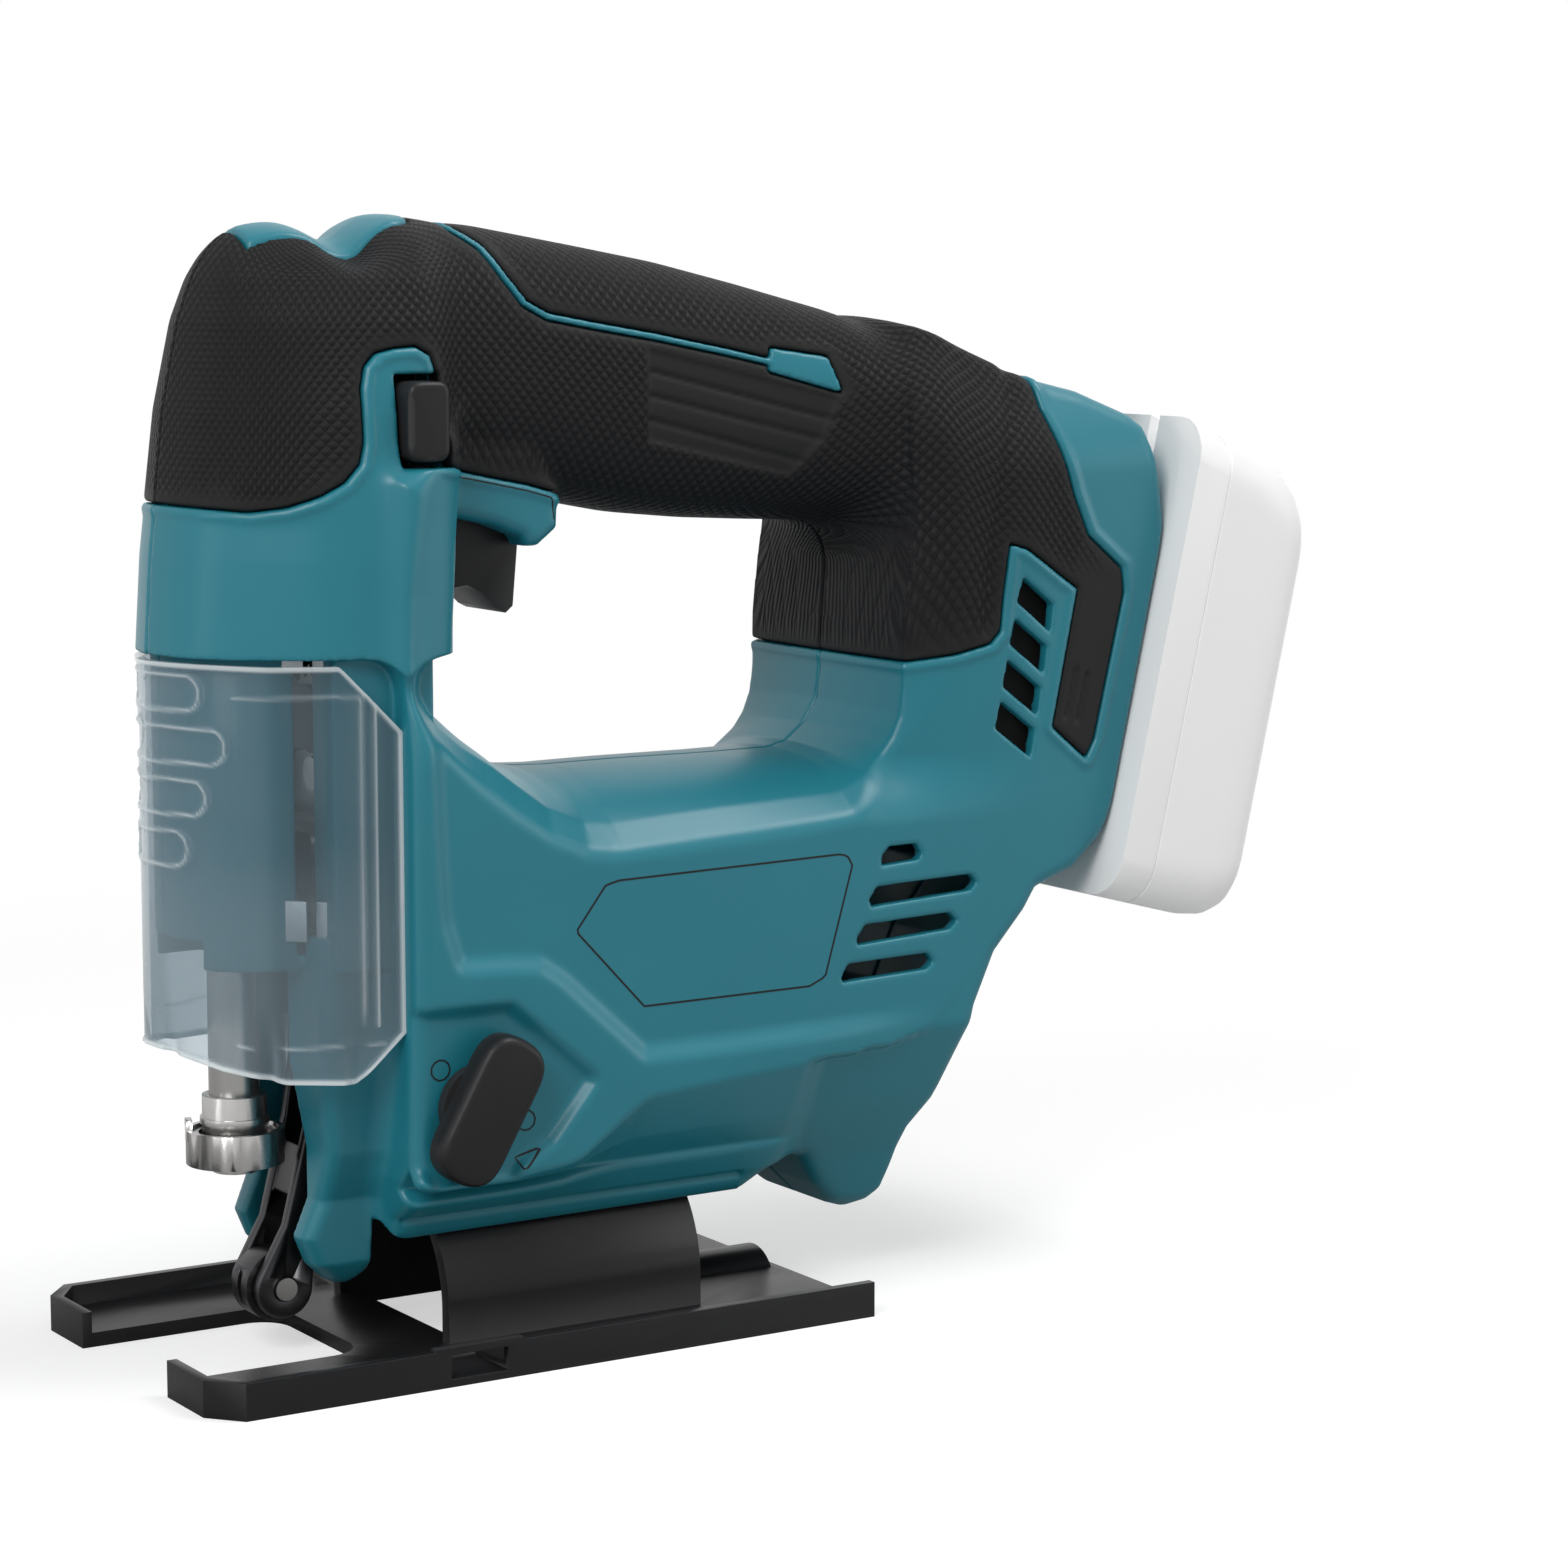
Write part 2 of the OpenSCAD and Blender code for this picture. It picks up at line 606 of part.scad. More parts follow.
module gear_outline(n, add) {
    r0 = tooth_m * n / 2 - 1.2 * tooth_m;
    r1 = tooth_m * n / 2 + add * tooth_m;
    polygon([for (k = [0 : n - 1], s = [-1, 1], i = [0 : 4])
        let (r = s < 0 ? r0 + (r1 - r0) * i / 4 : r1 - (r1 - r0) * i / 4,
             a = k * 360 / n + s * tooth_half(n, r))
        [r * cos(a), r * sin(a)]]);
}

module crank_gear() color("gray") translate([gear_x, 0, gear_z]) rotate([90, 0, 90]) difference() {
    union() {
        rotate(180 / gear_teeth + 270) linear_extrude(gear_face) gear_outline(gear_teeth, 0.85);
        translate([0, -crank_r, -3.6]) cylinder(h = 4, r = 2.5, $fn = round_fn);
    }
    translate([0, 0, -9]) cylinder(h = 30, r = 3 + run, $fn = round_fn);
    for (a = [30, 90, 150]) rotate(a) translate([gear_r * 0.6, 0, -1]) cylinder(h = 20, r = 3.2, $fn = 32);
}

module crank_roller() color("silver") translate([gear_x - 3.6, 0, gear_z]) rotate([90, 0, 90])
    translate([0, -crank_r, 0]) difference() {
        cylinder(h = 3.2, r = 4, $fn = round_fn);
        translate([0, 0, -1]) cylinder(h = 9, r = 2.5 + run, $fn = round_fn);
    }

// Balances the plunger; it is riveted to the gear's far side.
module counterweight() color("dimgray") translate([gear_x - 2.2, 0, gear_z]) rotate([90, 0, 90])
    difference() {
        cylinder(h = 2.2, r = gear_r - 2.4, $fn = round_fn);
        translate([-40, -80]) cube([80, 84, 10]);
        translate([0, 0, -1]) cylinder(h = 9, r = 4.5, $fn = round_fn);
    }

yoke_back = gear_x - 3.6 - 0.4;

module plunger() color("silver") translate([plunger_x, 0, 0])
    translate([0, 0, ring_top - 4]) cylinder(h = upper_z + bush_h + 2 - ring_top + 4, r = plunger_d / 2,
        $fn = round_fn);

module plunger_yoke() color("gray") difference() {
    union() {
        block(yoke_back - 3, yoke_back, -crank_r - 6.2, crank_r + 6.2, yoke_z - 6.5, yoke_z + 6.5);
        block(plunger_x - 5.8, yoke_back - 1, -6, 6, yoke_z - 4.9, yoke_z + 6.5);
    }
    block(yoke_back - 4, yoke_back + 1, -crank_r - 4.4, -6.4, yoke_z - 4.4, yoke_z + 4.4);
    block(yoke_back - 4, yoke_back + 1, 6.4, crank_r + 4.4, yoke_z - 4.4, yoke_z + 4.4);
    translate([plunger_x, 0, 0]) cylinder(h = 200, r = plunger_d / 2, $fn = round_fn);
}

module bush(z) translate([plunger_x, 0, z]) difference() {
    cylinder(h = bush_h, r = bush_r, $fn = round_fn);
    translate([0, 0, -1]) cylinder(h = bush_h + 2, r = plunger_d / 2 + run, $fn = round_fn);
}

module lower_bush() color("goldenrod") bush(lower_z - 0.3);
module upper_bush() color("goldenrod") bush(upper_z);

module clamp_body() color("silver") translate([plunger_x, 0, ring_z]) difference() {
    union() {
        translate([0, 0, -1.6]) cylinder(h = 1.7, r = 3.9, $fn = round_fn);
        cylinder(h = ring_h + collar_h, r = 5.6, $fn = round_fn);
        translate([0, 0, ring_h + 1]) cylinder(h = 1.2, r = 6, $fn = round_fn);
    }
    translate([0, 0, ring_h + collar_h - 4]) cylinder(h = 9, r = plunger_d / 2, $fn = round_fn);
    translate([-3.8, -0.9, -5]) cube([7.6, 1.8, 5 + ring_h + collar_h - 6]);
}

module clamp_ring() color("silver") translate([plunger_x, 0, ring_z]) union() {
    difference() {
        cylinder(h = ring_h, r = ring_d / 2, $fn = round_fn);
        translate([0, 0, -1]) cylinder(h = ring_h + 2, r = 5.6 + run, $fn = round_fn);
        translate([0, 0, ring_h - 1.6]) cylinder(h = 4, r = ring_d / 2 - 1, $fn = round_fn);
    }
    rotate(160) translate([ring_d / 2 - 1.1, -1.5, ring_h - 2]) cube([1.1, 3, 3.8]);
}

// Flat torsion spring in the ring's dish.
module clamp_spring() color("gray") translate([plunger_x, 0, ring_z + ring_h - 1.5]) difference() {
    cylinder(h = 0.9, r = ring_d / 2 - 1.3, $fn = round_fn);
    translate([0, 0, -1]) cylinder(h = 4, r = 6.3, $fn = round_fn);
}

// ---- orbital fork -------------------------------------------------------------------

// Points of the fork's centre line, from the roller up to its pivot, each with its half width.
fork_line = [[roller_x, roller_z, 5.3], [roller_x + 3, 22, 3], [pivot_x - 3, 40, 3.2],
    [pivot_x, pivot_z, 4.4]];

module fork_side() for (i = [0 : 2]) hull() for (p = [fork_line[i], fork_line[i + 1]])
    translate([p[0], p[1]]) circle(r = p[2], $fn = 40);

module orbital_fork() color([0.06, 0.06, 0.06]) difference() {
    union() {
        side(-fork_half, -fork_half + fork_t) fork_side();
        side(fork_half - fork_t, fork_half) fork_side();
        translate([(fork_line[1][0] + fork_line[2][0]) / 2, 0, 31.5]) rotate([0, 16, 0])
            cube([4.4, 2 * fork_half - 1, 9], center = true);
    }
    translate([roller_x, 0, roller_z]) along_y(-20, 20, 2);
    translate([pivot_x, 0, pivot_z]) along_y(-20, 20, 2 + run);
}

module fork_pin() color("silver") translate([pivot_x, 0, pivot_z]) along_y(-fork_half - 2, fork_half + 2, 2);

module guide_roller() color("dimgray") translate([roller_x, 0, roller_z]) difference() {
    along_y(-roller_w / 2, roller_w / 2, roller_d / 2);
    along_y(-20, 20, 2 + run);
    translate([-roller_d / 2, 0, 0]) cube([1.6, 1.4, 2 * roller_d], center = true);
}

module roller_pin() color("silver") translate([roller_x, 0, roller_z])
    along_y(-fork_half - 0.5, fork_half + 0.5, 2);

// ---- controls -----------------------------------------------------------------------

module orbital_knob() color([0.05, 0.05, 0.05]) translate([knob_x, 0, knob_z]) rotate([0, 30, 0])
    translate([0, knob_y, 0]) {
        difference() {
            hull() {
                side(-1.5, 0) knob_plan(0);
                side(-4.9, -4.5) knob_plan(-1.8);
            }
            along_y(-2.5, 1, 3);
        }
        translate([0, 0, 0]) difference() {
            along_y(0, 1.6, 5);
            along_y(-1, 3, 3);
        }
    }

module knob_plan(g) hull() for (s = [-1, 1])
    translate([0, s * (knob_len - knob_w) / 2]) circle(r = knob_w / 2 + g, $fn = 48);

module knob_shaft() color("gray") translate([knob_x, 0, knob_z]) {
    along_y(knob_y - 2.5, -14, 3);
    translate([-1.2, 0, 0]) along_y(-14.1, -10.6, 3.6);
}

module trigger_side() polygon([[56, 148], [56, 133], [58, 132], [61, 132.6], [64, 133], [67, 131.6],
    [70, 128.6], [71.6, 127.8], [73, 129], [74.2, 142], [74.2, 148]]);

module trigger() color([0.06, 0.06, 0.06]) difference() {
    union() {
        side(-7.4, 7.4) trigger_side();
        block(57, 72, -6, 6, 147.9, 151);
    }
    translate([65, 0, 149]) cylinder(h = 9, r = 3.4, $fn = 40);
}

// Wire swept round an upright helix: centre [x, y], from z0 to z1.
module coil(r, wire, z0, z1, turns) {
    steps = turns * 12;
    ring = 6;
    pts = [for (i = [0 : steps], j = [0 : ring - 1])
        let (a = i * 30, b = j * 360 / ring, q = r + wire * cos(b))
        [q * cos(a), q * sin(a), z0 + wire + (z1 - z0 - 2 * wire) * i / steps + wire * sin(b)]];
    faces = concat([[for (j = [ring - 1 : -1 : 0]) j]],
        [for (i = [0 : steps - 1], j = [0 : ring - 1]) let (k = (j + 1) % ring)
            [i * ring + j, i * ring + k, (i + 1) * ring + k, (i + 1) * ring + j]],
        [[for (j = [0 : ring - 1]) steps * ring + j]]);
    polyhedron(pts, faces, convexity = 6);
}

module trigger_spring() color("silver") translate([65, 0, 0]) coil(2.6, 0.35, 149, 162, 5);

module switch_body() color([0.15, 0.15, 0.16]) union() {
    block(58, 96, -9, 9, 162, 179);
    block(77, 94, -7, 7, 156, 162.1);
}

module lock_off_button() color([0.05, 0.05, 0.05]) difference() {
    translate([lock_x, 0, lock_z]) union() {
        side(-head_half - 1.4, -head_half + 6) soft(1.6, 0) square([7.4, 13.6], center = true);
        side(-head_half + 5.9, head_half - 4.5) square([6, 8], center = true);
    }
    block(lock_x - 1.6, lock_x + 1.6, 8, 14, lock_z - 8, lock_z - 1);
}

// ---- motor --------------------------------------------------------------------------

module motor_axis() translate([0, 0, motor_z]) children();

module motor_can() color("gray") motor_axis() difference() {
    along_x(can_x, can_x + can_len, can_d / 2);
    along_x(can_x + 1.6, can_x + can_len + 1, can_d / 2 - 1.6);
    along_x(can_x - 1, can_x + 4, 6);
}

module motor_magnets() color("dimgray") motor_axis() intersection() {
    difference() {
        along_x(can_x + 4, can_x + can_len - 6, can_d / 2 - 1.6);
        along_x(can_x, can_x + can_len, can_d / 2 - 4.4);
    }
    mirrored_y() block(can_x, can_x + can_len, 6.5, 30, -14, 14);
}

shaft_r = 2.5;
shaft_x0 = gear_x - 0.5;
shaft_x1 = can_x + can_len + 31;

module armature() color("silver") motor_axis() union() {
    along_x(shaft_x0, shaft_x1, shaft_r);
    difference() {
        along_x(can_x + 8, can_x + can_len - 9, can_d / 2 - 5);
        for (a = [0 : 30 : 330]) rotate([a, 0, 0]) block(can_x, can_x + can_len, -0.9, 0.9, can_d / 2 - 9, 30);
    }
}

module commutator() color("darkorange") motor_axis() difference() {
    along_x(can_x + can_len + 12, can_x + can_len + 21, 8);
    along_x(can_x, can_x + can_len + 40, shaft_r);
    for (a = [0 : 30 : 330]) rotate([a, 0, 0]) block(can_x, can_x + can_len + 40, -0.3, 0.3, 7, 12);
}

module cooling_fan() color([0.2, 0.2, 0.22]) motor_axis() difference() {
    union() {
        along_x(can_x + can_len + 1.2, can_x + can_len + 2.6, can_d / 2 - 1.5);
        along_x(can_x + can_len + 1.2, can_x + can_len + 9, 5.5);
        for (a = [0 : 40 : 320]) rotate([a, 0, 0])
            block(can_x + can_len + 2, can_x + can_len + 9, -0.6, 0.6, 4, can_d / 2 - 1.8);
    }
    along_x(can_x, can_x + can_len + 40, shaft_r);
}

module motor_pinion() color("gray") motor_axis() translate([gear_x, 0, 0]) rotate([90, 0, 90]) difference() {
    rotate(90) linear_extrude(gear_face) gear_outline(pinion_teeth, 0.85);
    translate([0, 0, -1]) cylinder(h = 20, r = shaft_r, $fn = round_fn);
}

module bearing(x, r) motor_axis() difference() {
    along_x(x, x + 5, r);
    along_x(x - 1, x + 6, shaft_r + 0.02);
    difference() {
        along_x(x - 1, x + 0.5, r - 1.6);
        along_x(x - 2, x + 1, shaft_r + 1.4);
    }
}

module front_bearing() color("silver") bearing(plate_x + plate_t - 1.2, 8);
module rear_bearing() color("silver") bearing(can_x + can_len + 24.5, 6.5);

module brush_holder() color([0.25, 0.2, 0.15]) motor_axis() union() {
    difference() {
        union() {
            along_x(can_x + can_len + 23, can_x + can_len + 30.5, 9);
            mirrored_y() block(can_x + can_len + 12, can_x + can_len + 26, 8.4, 15, -4, 4);
            mirrored_y() block(can_x + can_len + 23, can_x + can_len + 26, 8, 17, -4, 4);
        }
        along_x(can_x, can_x + can_len + 24.5, 5);
        along_x(can_x + can_len + 24.4, can_x + can_len + 40, 6.5);
    }
}

module housing_screws() color("silver") screw_spots() {
    along_y(1 - boss_depth, head_y, screw_r - 0.05, 24);
    difference() {
        along_y(head_y, head_y + 2.2, head_r - 0.2, 24);
        along_y(head_y + 1, head_y + 4, 1.2, 6);
    }
}

// ---- battery pack -------------------------------------------------------------------

// Local frame of the pack: x is out of the rear face, z is up along the rails.
module batt() translate([pack_x, 0, pack_z]) rotate([0, lean, 0]) children();

rail_in = 20;
rail_out = 25;
rail_z0 = 3;
rail_z1 = 51;

module rail_plate() color([0.08, 0.08, 0.08]) batt() difference() {
    union() {
        block(-3.2, 0, -28.6, 28.6, 0.4, 53.6);
        mirrored_y() block(-0.1, 3.4, rail_in, rail_in + 2, rail_z0, rail_z1);
        mirrored_y() block(3.3, 5.2, rail_in, rail_out, rail_z0, rail_z1);
    }
    block(-5, 2, -10, 10, 8, 30);
}

module terminal_block() color([0.6, 0.5, 0.2]) batt() union() {
    block(-8, -3.2, -12, 12, 6, 34);
    block(-3.3, 4.6, -9.8, 9.8, 8.2, 29.8);
}

module pack_plan(low, high, half, r) translate([0, -half, low]) rotate([90, 0, 90]) linear_extrude(eps)
    translate([0, 0]) soft(r, 0) square([2 * half, high - low]);

module pack_form(g) hull() {
    translate([gap + 0.1 - g, 0, 0]) pack_plan(pack_low - g, pack_low + pack_h + g, pack_half + g, 8);
    translate([pack_t - 6, 0, 0]) pack_plan(pack_low - 1 - g, pack_low + pack_h - 6 + g, pack_half + g, 8);
    translate([pack_t - eps + g, 0, 0]) pack_plan(pack_low + 4 - g, pack_flat + g, pack_half - 2 + g, 8);
}

split_x = 8;

module pack_front() color([0.92, 0.92, 0.92, 0.6]) batt() difference() {
    intersection() { pack_form(0); block(-1, split_x, -60, 60, -60, 120); }
    mirrored_y() block(-1, 3.8, rail_in - 0.4, rail_in + 2.4, rail_z0 - 0.6, 120);
    mirrored_y() block(2.9, 5.6, rail_in - 0.4, rail_out + 0.4, rail_z0 - 0.6, 120);
    block(-1, 5.2, -10.4, 10.4, 7.8, 120);
}

module pack_back() color([0.92, 0.92, 0.92, 0.6]) batt() union() {
    difference() {
        intersection() { pack_form(0); block(split_x, 60, -60, 60, -60, 120); }
        intersection() { pack_form(-pack_wall); block(split_x - 1, 60, -60, 60, -60, 120); }
    }
    difference() {
        block(-5.2, 20, -24, 24, pack_low - 7.6, pack_low - 1.1);
        translate([0, 0, pack_low - 4.4]) along_x(-6, 5, 2.7, 32);
    }
    block(8.2, 20, -24, 24, pack_low - 2, pack_low + 0.3);
}

cell_x = split_x + 0.4 + cell_d / 2;

module battery_cells() color("steelblue") batt() for (i = [0 : 3])
    translate([cell_x, 0, pack_low + pack_wall + 2 + cell_d / 2 + i * (cell_d + 0.1)])
        along_y(-32, 32, cell_d / 2);

module pack_latch() color([0.3, 0.3, 0.32]) batt() difference() {
    block(-12.5, -7.6, -17, 17, pack_low - 7.4, pack_low - 1.4);
    for (i = [-1 : 1]) block(-13, -12, -14, 14, pack_low - 4.7 + 1.7 * i, pack_low - 4.1 + 1.7 * i);
}

module latch_spring() color("silver") batt() translate([-7.5, 0, pack_low - 4.4]) rotate([0, 90, 0])
    coil(1.9, 0.35, 0, 9.4, 5);

place() left_housing();
place() right_housing();
place() left_grip();
place() right_grip();
place() top_insert();
place() dust_cover();
place() shoe();
place() shoe_clamp();
place() shoe_bolt();
place() anchor_block();
place() gear_case();
place() gear_axle();
place() crank_gear();
place() crank_roller();
place() counterweight();
place() plunger();
place() plunger_yoke();
place() lower_bush();
place() upper_bush();
place() clamp_body();
place() clamp_ring();
place() clamp_spring();
place() orbital_fork();
place() fork_pin();
place() guide_roller();
place() roller_pin();
place() orbital_knob();
place() knob_shaft();
place() trigger();
place() trigger_spring();
place() switch_body();
place() lock_off_button();
place() motor_can();
place() motor_magnets();
place() armature();
place() commutator();
place() cooling_fan();
place() motor_pinion();
place() front_bearing();
place() rear_bearing();
place() brush_holder();
place() housing_screws();
place() rail_plate();
place() terminal_block();
place() pack_front();
place() pack_back();
place() battery_cells();
place() pack_latch();
place() latch_spring();
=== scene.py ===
# %% [markdown]
# # A cordless jigsaw, dressed over its own solids
#
# The frame below holds every solid of the saw in metres: X runs back along the cut, Y to the
# tool's right and Z up from the sole. This lesson makes the skins, covers and finishes that
# ride on that frame.

# %% Load the frame
import math
from functools import reduce
import bpy
import bmesh
import numpy as np
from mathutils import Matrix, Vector


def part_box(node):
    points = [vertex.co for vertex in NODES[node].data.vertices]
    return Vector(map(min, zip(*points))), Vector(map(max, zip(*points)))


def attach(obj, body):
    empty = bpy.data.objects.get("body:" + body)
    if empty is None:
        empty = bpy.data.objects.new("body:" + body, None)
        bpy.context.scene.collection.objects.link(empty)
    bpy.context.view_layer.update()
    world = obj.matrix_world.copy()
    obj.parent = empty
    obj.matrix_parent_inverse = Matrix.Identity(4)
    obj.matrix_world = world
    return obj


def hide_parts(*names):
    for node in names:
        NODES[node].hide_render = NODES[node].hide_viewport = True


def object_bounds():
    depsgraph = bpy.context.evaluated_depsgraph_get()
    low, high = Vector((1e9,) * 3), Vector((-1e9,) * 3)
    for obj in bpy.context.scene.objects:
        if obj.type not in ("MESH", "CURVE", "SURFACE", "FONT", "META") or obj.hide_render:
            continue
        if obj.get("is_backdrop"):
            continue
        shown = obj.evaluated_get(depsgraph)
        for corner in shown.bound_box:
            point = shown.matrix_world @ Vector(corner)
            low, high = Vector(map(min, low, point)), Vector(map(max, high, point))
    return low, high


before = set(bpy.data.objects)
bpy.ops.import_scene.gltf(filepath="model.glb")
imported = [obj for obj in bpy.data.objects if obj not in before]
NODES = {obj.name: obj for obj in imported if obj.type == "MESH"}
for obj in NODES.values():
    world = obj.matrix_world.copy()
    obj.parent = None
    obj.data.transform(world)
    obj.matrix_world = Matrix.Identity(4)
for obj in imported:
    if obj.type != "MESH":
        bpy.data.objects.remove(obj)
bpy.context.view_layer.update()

# %% [markdown]
# ## Measures in the workshop's way
#
# The housing is drawn in millimetres from the front edge of the shoe, as a maker would mark it
# out. `FRONT` is where that edge lies in the frame, so one small function takes a drawn point
# into the frame.

# %% Where the drawing's zero lies, and how a mesh becomes a piece
MM = 0.001
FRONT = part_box("shoe")[0].x
HALF_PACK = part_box("pack_front")[1].y / MM
print("front edge of the shoe at", round(FRONT, 4), "m")


def placed(points):
    """Drawn millimetres to metres in the frame."""
    out = np.asarray(points, float) * MM
    out[..., 0] += FRONT
    return out


def linked(name, data):
    """A new object that holds the data, in the scene."""
    obj = bpy.data.objects.new(name, data)
    bpy.context.scene.collection.objects.link(obj)
    return obj


def meshed(name, points, faces):
    """A mesh object from points in metres and the faces between them."""
    mesh = bpy.data.meshes.new(name)
    mesh.from_pydata(np.asarray(points).tolist(), [], faces)
    return linked(name, mesh)


def faced(obj, sharp):
    """Every face turned outward, and smooth except over edges sharper than that angle."""
    shape = bmesh.new()
    shape.from_mesh(obj.data)
    bmesh.ops.recalc_face_normals(shape, faces=shape.faces)
    shape.to_mesh(obj.data)
    shape.free()
    obj.data.shade_smooth()
    obj.data.set_sharp_from_angle(angle=math.radians(sharp))
    return obj


# %% [markdown]
# ## The camera and the light
#
# A hand tool is best shown from a little above the floor and through a long lens, so that it
# keeps its proportions. The room is a pale sweep: a floor that takes a soft shadow, four soft
# lamps and an even sky. Rays that come straight from the camera, and those that mirror or pass
# through clear plastic, see a plain white room. Only the floor close under the tool keeps its
# own grey in a mirrored ray, so that the underside of the housing stays dark.

# %% Camera
EYE = (-268.7, -632.3, 191.0)
turn, drop = math.radians(-32.5), math.radians(7.5)
camera_data = bpy.data.cameras.new("camera")
camera_data.sensor_width, camera_data.lens = 36.0, 93.3
camera = linked("camera", camera_data)
look = Vector((-math.sin(turn) * math.cos(drop), math.cos(turn) * math.cos(drop), -math.sin(drop)))
camera.rotation_mode = "QUATERNION"
camera.rotation_quaternion = look.to_track_quat("-Z", "Y")
camera.location = placed(EYE)
camera_data.clip_start, camera_data.clip_end = 0.01, 20
bpy.context.scene.camera = camera
print("camera looks along", tuple(round(c, 3) for c in look))

# %% Lamps


def soft_lamp(name, place, target, width, height, watts):
    """A rectangular soft box that faces the target."""
    data = bpy.data.lights.new(name, "AREA")
    data.shape, data.size, data.size_y, data.energy = "RECTANGLE", width, height, watts
    lamp = linked(name, data)
    lamp.location = place
    lamp.rotation_mode = "QUATERNION"
    lamp.rotation_quaternion = (target - Vector(place)).to_track_quat("-Z", "Y")


middle = Vector((0, 0, 0.09))
pack_middle = Vector((0.12, 0, 0.14))
soft_lamp("key_lamp", (-0.75, -0.55, 0.75), middle, 0.45, 0.5, 6.5)
soft_lamp("top_lamp", (0.42, -0.22, 1.0), middle, 0.5, 0.5, 6.0)
soft_lamp("rear_lamp", (0.75, -0.5, 0.3), pack_middle, 0.4, 0.4, 1.2)
soft_lamp("front_strip", (-0.95, -0.05, 0.3), middle, 0.12, 0.7, 0.8)
print("four soft lamps")

# %% [markdown]
# ## Sky and floor
#
# A finish, the sky and the floor are each a tree of small nodes. Three short functions empty a
# tree, add a node to it and join two of them, so that a tree reads like a recipe. The floor is
# one large plane. Near the tool it takes a shadow; farther off it fades to plain white, so that
# no horizon shows.

# %% Node helpers


def nodes_of(material):
    """The material's tree, emptied."""
    material.use_nodes = True
    tree = material.node_tree
    tree.nodes.clear()
    return tree


def add(tree, kind, **values):
    """A node with its plain values set; a key that is a number is an input's index."""
    node = tree.nodes.new(kind)
    for key, value in values.items():
        if key.startswith("in_"):
            node.inputs[int(key[3:])].default_value = value
        else:
            setattr(node, key, value)
    return node


def join(tree, output, socket):
    """A link from one node's output to another's input."""
    tree.links.new(output, socket)


def seen_directly(tree, kinds=("Is Glossy Ray", "Is Transmission Ray")):
    """1 for rays from the camera, and for those that mirror or pass through a piece."""
    path = add(tree, "ShaderNodeLightPath")
    total = path.outputs["Is Camera Ray"]
    for kind in kinds:
        step = add(tree, "ShaderNodeMath", operation="ADD", use_clamp=True)
        join(tree, total, step.inputs[0])
        join(tree, path.outputs[kind], step.inputs[1])
        total = step.outputs[0]
    return total


def choose(tree, factor, first, second):
    """One of two shaders, or a mix of them."""
    mix = add(tree, "ShaderNodeMixShader")
    join(tree, factor, mix.inputs[0])
    join(tree, first, mix.inputs[1])
    join(tree, second, mix.inputs[2])
    return mix.outputs[0]


print("node helpers ready")

# %% Sky
SKY_LIGHT = 0.27
world = bpy.data.worlds.new("studio")
bpy.context.scene.world = world
world.use_nodes = True
sky = world.node_tree
sky.nodes.clear()
lit = add(sky, "ShaderNodeBackground", in_0=(1, 1, 1, 1), in_1=SKY_LIGHT)
plain = add(sky, "ShaderNodeBackground", in_0=(1, 1, 1, 1), in_1=1.0)
join(sky, choose(sky, seen_directly(sky), lit.outputs[0], plain.outputs[0]),
     add(sky, "ShaderNodeOutputWorld").inputs[0])

print("even sky,", SKY_LIGHT, "of full white")

# %% Floor
FLOOR_GREY = 0.55
FLOOR_LIFT = 0.55
FADE_FROM, FADE_TO = 0.22, 0.55
bpy.ops.mesh.primitive_plane_add(size=30)
floor = bpy.context.object
floor.name = "floor"
floor_paint = bpy.data.materials.new("pale_floor")
tree = nodes_of(floor_paint)
paint = add(tree, "ShaderNodeBsdfDiffuse", in_0=(FLOOR_GREY, FLOOR_GREY, FLOOR_GREY, 1))
glow = add(tree, "ShaderNodeEmission", in_0=(1, 1, 1, 1), in_1=FLOOR_LIFT)
lifted = add(tree, "ShaderNodeAddShader")
join(tree, paint.outputs[0], lifted.inputs[0])
join(tree, glow.outputs[0], lifted.inputs[1])
white = add(tree, "ShaderNodeEmission", in_0=(1, 1, 1, 1), in_1=1.0)
geometry = add(tree, "ShaderNodeNewGeometry")
reach = add(tree, "ShaderNodeVectorMath", operation="LENGTH")
join(tree, geometry.outputs["Position"], reach.inputs[0])
fade = add(tree, "ShaderNodeMapRange", interpolation_type="SMOOTHSTEP", in_1=FADE_FROM,
           in_2=FADE_TO)
join(tree, reach.outputs["Value"], fade.inputs[0])
near_by = choose(tree, seen_directly(tree, ["Is Transmission Ray"]), paint.outputs[0],
                 lifted.outputs[0])
sweep = choose(tree, fade.outputs[0], near_by, white.outputs[0])
join(tree, choose(tree, seen_directly(tree), paint.outputs[0], sweep),
     add(tree, "ShaderNodeOutputMaterial").inputs[0])
floor.data.materials.append(floor_paint)
floor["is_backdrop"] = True
bpy.context.scene.view_settings.view_transform = "Standard"
print("pale floor, plain white from", FADE_TO, "m on")

# %% [markdown]
# ## Finishes
#
# Moulded plastic, rubber, steel and castings all share one recipe: a base colour that varies a
# little over the part, a roughness that varies with handling, and a fine relief from the mould or
# the tool that cut it. One function builds that recipe from noise at two scales, and each finish
# then adds what is its own. All sizes are given as the width of one grain in millimetres.

# %% The shared recipe


def mix_colours(tree, factor, first, second):
    """A colour between two; either may be a plain colour or another node's output."""
    mix = add(tree, "ShaderNodeMix", data_type="RGBA")
    for slot, value in ((0, factor), (6, first), (7, second)):
        if hasattr(value, "is_linked"):
            join(tree, value, mix.inputs[slot])
        else:
            mix.inputs[slot].default_value = value if slot == 0 else (*value[:3], 1)
    return mix.outputs[2]


